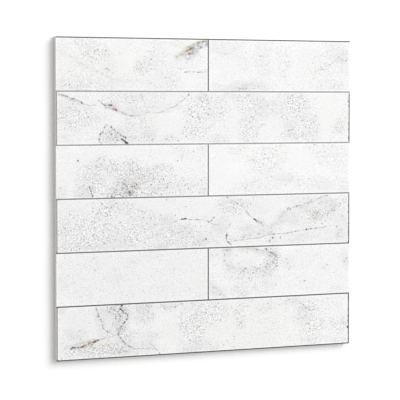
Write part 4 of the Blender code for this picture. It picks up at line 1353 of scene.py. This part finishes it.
# The fine marks: each pass reads the way to its nearest mark, sways it so that the line looks drawn
# by a shaky hand, and inks what lies nearer than about half the mark's width.
def drawMarks(tree, colour, place):
    furthest = film["markSway"]
    shake = addNode(
        tree, "ShaderNodeTexNoise", (-1900, 900), None,
        {"Scale": 1 / (film["markSwayLength"] * mm), "Detail": 1.5}, {"Vector": place},
    )
    sway = addNode(
        tree, "ShaderNodeVectorMath", (-1700, 900), {"operation": "MULTIPLY_ADD"},
        {1: (2 * furthest, 2 * furthest, 0), 2: (-furthest, -furthest, 0)}, {0: shake.outputs["Color"]},
    )
    for number in range(drawing["passes"]):
        row = 900 - 300 * number
        way = addNode(tree, "ShaderNodeAttribute", (-1500, row), {"attribute_name": f"way{number}"})
        ink = addNode(
            tree, "ShaderNodeAttribute", (-1500, row - 150), {"attribute_name": f"wayInk{number}"},
        )
        wayParts = addNode(      # its third part is half the mark's width
            tree, "ShaderNodeSeparateXYZ", (-1300, row - 100), None, None, {0: way.outputs["Vector"]},
        )
        swayed = addNode(
            tree, "ShaderNodeVectorMath", (-1300, row), {"operation": "MULTIPLY_ADD"}, {1: (1, 1, 0)},
            {0: way.outputs["Vector"], 2: sway.outputs[0]},
        )
        distance = addNode(
            tree, "ShaderNodeVectorMath", (-1100, row), {"operation": "LENGTH"}, None,
            {0: swayed.outputs[0]},
        )
        reach = addNode(
            tree, "ShaderNodeMath", (-900, row), {"operation": "DIVIDE"}, None,
            {0: distance.outputs["Value"], 1: wayParts.outputs["Z"]},
        )
        cover = addNode(
            tree, "ShaderNodeMapRange", (-700, row), {"interpolation_type": "SMOOTHSTEP"},
            {"From Min": film["markEnd"], "From Max": film["markFull"], "To Min": 0.0, "To Max": 1.0},
            {"Value": reach.outputs[0]},
        )
        strength = addNode(
            tree, "ShaderNodeMath", (-500, row), {"operation": "MULTIPLY", "use_clamp": True}, None,
            {0: cover.outputs["Result"], 1: ink.outputs["Alpha"]},
        )
        mixed = addNode(
            tree, "ShaderNodeMix", (-300, row), {"data_type": "RGBA", "blend_type": "MULTIPLY"}, None,
            {0: strength.outputs[0], 6: colour, 7: ink.outputs["Color"]},
        )
        colour = mixed.outputs[2]
    return colour


def decorFilm():
    material, tree, shader = newMaterial("decorFilm")
    place = addNode(tree, "ShaderNodeTexCoord", (-2100, 0)).outputs["Object"]
    ink = addNode(tree, "ShaderNodeAttribute", (-1900, 200), {"attribute_name": "ink"})
    painted = addNode(
        tree, "ShaderNodeMix", (-1700, 200), {"data_type": "RGBA", "blend_type": "MULTIPLY"},
        {0: 1.0, 6: linearHex(film["white"])}, {7: ink.outputs["Color"]},
    )
    marked = drawMarks(tree, painted.outputs[2], place)
    colour = drawGrain(tree, marked, place)
    peel = addNode(
        tree, "ShaderNodeTexNoise", (-700, -1000), None,
        {"Scale": 1 / (film["peelLength"] * mm), "Detail": 1.0}, {"Vector": place},
    )
    bump = addNode(
        tree, "ShaderNodeBump", (-300, -1100), None,
        {"Strength": 1.0, "Distance": film["peelDepth"]}, {"Height": peel.outputs["Fac"]},
    )
    gloss = addNode(
        tree, "ShaderNodeMapRange", (-300, -900), None,
        {
            "To Min": film["roughness"] - film["roughnessSway"],
            "To Max": film["roughness"] + film["roughnessSway"],
        },
        {"Value": peel.outputs["Fac"]},
    )
    tree.links.new(colour, shader.inputs["Base Color"])
    tree.links.new(gloss.outputs["Result"], shader.inputs["Roughness"])
    tree.links.new(bump.outputs["Normal"], shader.inputs["Normal"])
    shader.inputs["IOR"].default_value = pvcIor
    return material


# The same film printed plain grey along the joints, where the hot press has sunk it. Its grey holds
# painted contact shade at the bottom edge and the right ends, and painted light at the left ends.
joint = {
    "grainLength": 1.2,       # mm
    "grainDepth": 0.10,
    "roughness": 0.55,
}


def jointFilm():
    material, tree, shader = newMaterial("jointFilm")
    place = addNode(tree, "ShaderNodeTexCoord", (-1100, -200)).outputs["Object"]
    ink = addNode(tree, "ShaderNodeAttribute", (-700, 100), {"attribute_name": "jointInkAndShade"})
    grain = addNode(
        tree, "ShaderNodeTexNoise", (-900, -200), None,
        {"Scale": 1 / (joint["grainLength"] * mm), "Detail": 2.0}, {"Vector": place},
    )
    low, high = 1 - joint["grainDepth"], 1 + joint["grainDepth"]
    sway = addNode(
        tree, "ShaderNodeMapRange", (-700, -200), None,
        {"From Min": noiseLow, "From Max": noiseHigh, "To Min": low, "To Max": high},
        {"Value": grain.outputs["Fac"]},
    )
    colour = addNode(
        tree, "ShaderNodeVectorMath", (-450, 0), {"operation": "SCALE"}, None,
        {0: ink.outputs["Color"], "Scale": sway.outputs["Result"]},
    )
    tree.links.new(colour.outputs[0], shader.inputs["Base Color"])
    shader.inputs["Roughness"].default_value = joint["roughness"]
    shader.inputs["IOR"].default_value = pvcIor
    return material


# Foamed PVC where the board was sawn: a matt warm white that open cells break up and darken a little.
# Its white is set darker than the back's, partly as painted shade on the sides.
sawn = {
    "texture": "ShaderNodeTexVoronoi",
    "height": "Distance",
    "cellLength": 0.5,        # mm, drawn coarser than the real cells, which would not show
    "detail": 0.0,
    # the sawn white, set darker partly as painted shade
    "hollow": "#c2beb7",
    "wall": "#dddad3",
    "bump": 0.6,
    "depth": 0.05 * mm,
    "roughness": 0.7,
}

# The back of the board as it leaves the calender: a white, smooth and dull skin with a faint mottle
calendered = {
    "texture": "ShaderNodeTexNoise",
    "height": "Fac",
    "cellLength": 2.5,        # mm, from one mottle to the next
    "detail": 4.0,
    "hollow": "#e6e4df",
    "wall": "#f3f2ee",
    "bump": 0.5,
    "depth": 0.03 * mm,
    "roughness": 0.55,
}


def foamedPvc(name, look):
    material, tree, shader = newMaterial(name)
    place = addNode(tree, "ShaderNodeTexCoord", (-1100, 0)).outputs["Object"]
    cells = addNode(
        tree, look["texture"], (-850, 0), None,
        {"Scale": 1 / (look["cellLength"] * mm), "Detail": look["detail"]}, {"Vector": place},
    )
    height = cells.outputs[look["height"]]
    tone = addNode(tree, "ShaderNodeValToRGB", (-600, 120), None, None, {"Fac": height})
    tone.color_ramp.elements[0].color = linearHex(look["hollow"])
    tone.color_ramp.elements[1].color = linearHex(look["wall"])
    bump = addNode(
        tree, "ShaderNodeBump", (-350, -200), None,
        {"Strength": look["bump"], "Distance": look["depth"]}, {"Height": height},
    )
    tree.links.new(tone.outputs["Color"], shader.inputs["Base Color"])
    tree.links.new(bump.outputs["Normal"], shader.inputs["Normal"])
    shader.inputs["Roughness"].default_value = look["roughness"]
    shader.inputs["IOR"].default_value = pvcIor
    return material


# Film on the bricks, grey film in the joints, sawn sides and a plain back
def finishTile(piece):
    piece.data.materials.append(decorFilm())
    piece.data.materials.append(jointFilm())
    piece.data.materials.append(foamedPvc("sawnFoamAndShade", sawn))
    piece.data.materials.append(foamedPvc("calenderedFoam", calendered))
    for face in piece.data.polygons:
        if face.normal.z < -0.5:
            face.material_index = backIndex
        elif face.normal.z < 0.1:
            face.material_index = sawnIndex
        elif face.center.z < top - samePlace:
            face.material_index = jointIndex
        else:
            face.material_index = filmIndex


tile = modelTile()
finishTile(tile)
printMarble(tile)
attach(tile, "root")
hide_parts("tile_panel")
print("tile printed and finished")

studio = {
    "floorSize": 12.0,
    "floorColour": "#f5f5f5",
    "domeColour": "#ffffff",
    "domeStrength": 0.58,
    "softboxSize": 5.2,
    "softboxPlace": (3.1, 2.85, 4.9),     # metres, high up beyond the top right corner
    "softboxPower": 374.0,                # watts
    "softboxColour": "#ffffff",
}


# White paper, matt, with nothing to see but the shadow
def studioPaper():
    material, _, shader = newMaterial("studioPaper")
    shader.inputs["Base Color"].default_value = linearHex(studio["floorColour"])
    shader.inputs["Roughness"].default_value = 1.0
    shader.inputs["Specular IOR Level"].default_value = 0.0
    return material


def layFloor():
    bpy.ops.object.select_all(action="DESELECT")
    bpy.ops.mesh.primitive_plane_add(size=studio["floorSize"], location=(0, 0, 0))
    floor = bpy.context.object
    floor.name = "studio_floor"
    floor.data.materials.append(studioPaper())


def lightStudio():
    world = bpy.data.worlds.new("studioDome")
    world.use_nodes = True
    dome = world.node_tree.nodes["Background"]
    dome.inputs["Color"].default_value = linearHex(studio["domeColour"])
    dome.inputs["Strength"].default_value = studio["domeStrength"]
    bpy.context.scene.world = world
    softbox = Vector(studio["softboxPlace"])
    bpy.ops.object.light_add(type="AREA", location=softbox)
    lamp = bpy.context.object
    lamp.name = "softbox"
    lamp.rotation_euler = softbox.to_track_quat("Z", "Y").to_euler()
    lamp.data.shape = "SQUARE"
    lamp.data.size = studio["softboxSize"]
    lamp.data.energy = studio["softboxPower"]
    lamp.data.color = linearHex(studio["softboxColour"])[:3]
    bpy.context.scene.view_settings.view_transform = "Standard"


layFloor()
lightStudio()
print("floor and light set")

# The camera stands left of the panel and looks down on it, where the photograph's did. The shift
# keeps the upright sides nearly upright.
view = {
    "place": (-514.2 * mm, 87.6 * mm, 1343.2 * mm),
    "tiltDown": 1.822,        # degrees towards the bottom edge
    "turnRight": 20.745,      # degrees towards the right-hand side
    "lens": 134.95,
    "sensor": 36.0,
    "shiftUp": -0.12,
}


def placeCamera():
    turn = (math.radians(-view["tiltDown"]), math.radians(-view["turnRight"]), 0)
    bpy.ops.object.camera_add(location=view["place"], rotation=turn)
    eye = bpy.context.object
    eye.name = "camera"
    eye.data.lens = view["lens"]
    eye.data.sensor_width = view["sensor"]
    eye.data.shift_y = view["shiftUp"]
    bpy.context.scene.camera = eye


placeCamera()
print("camera placed")
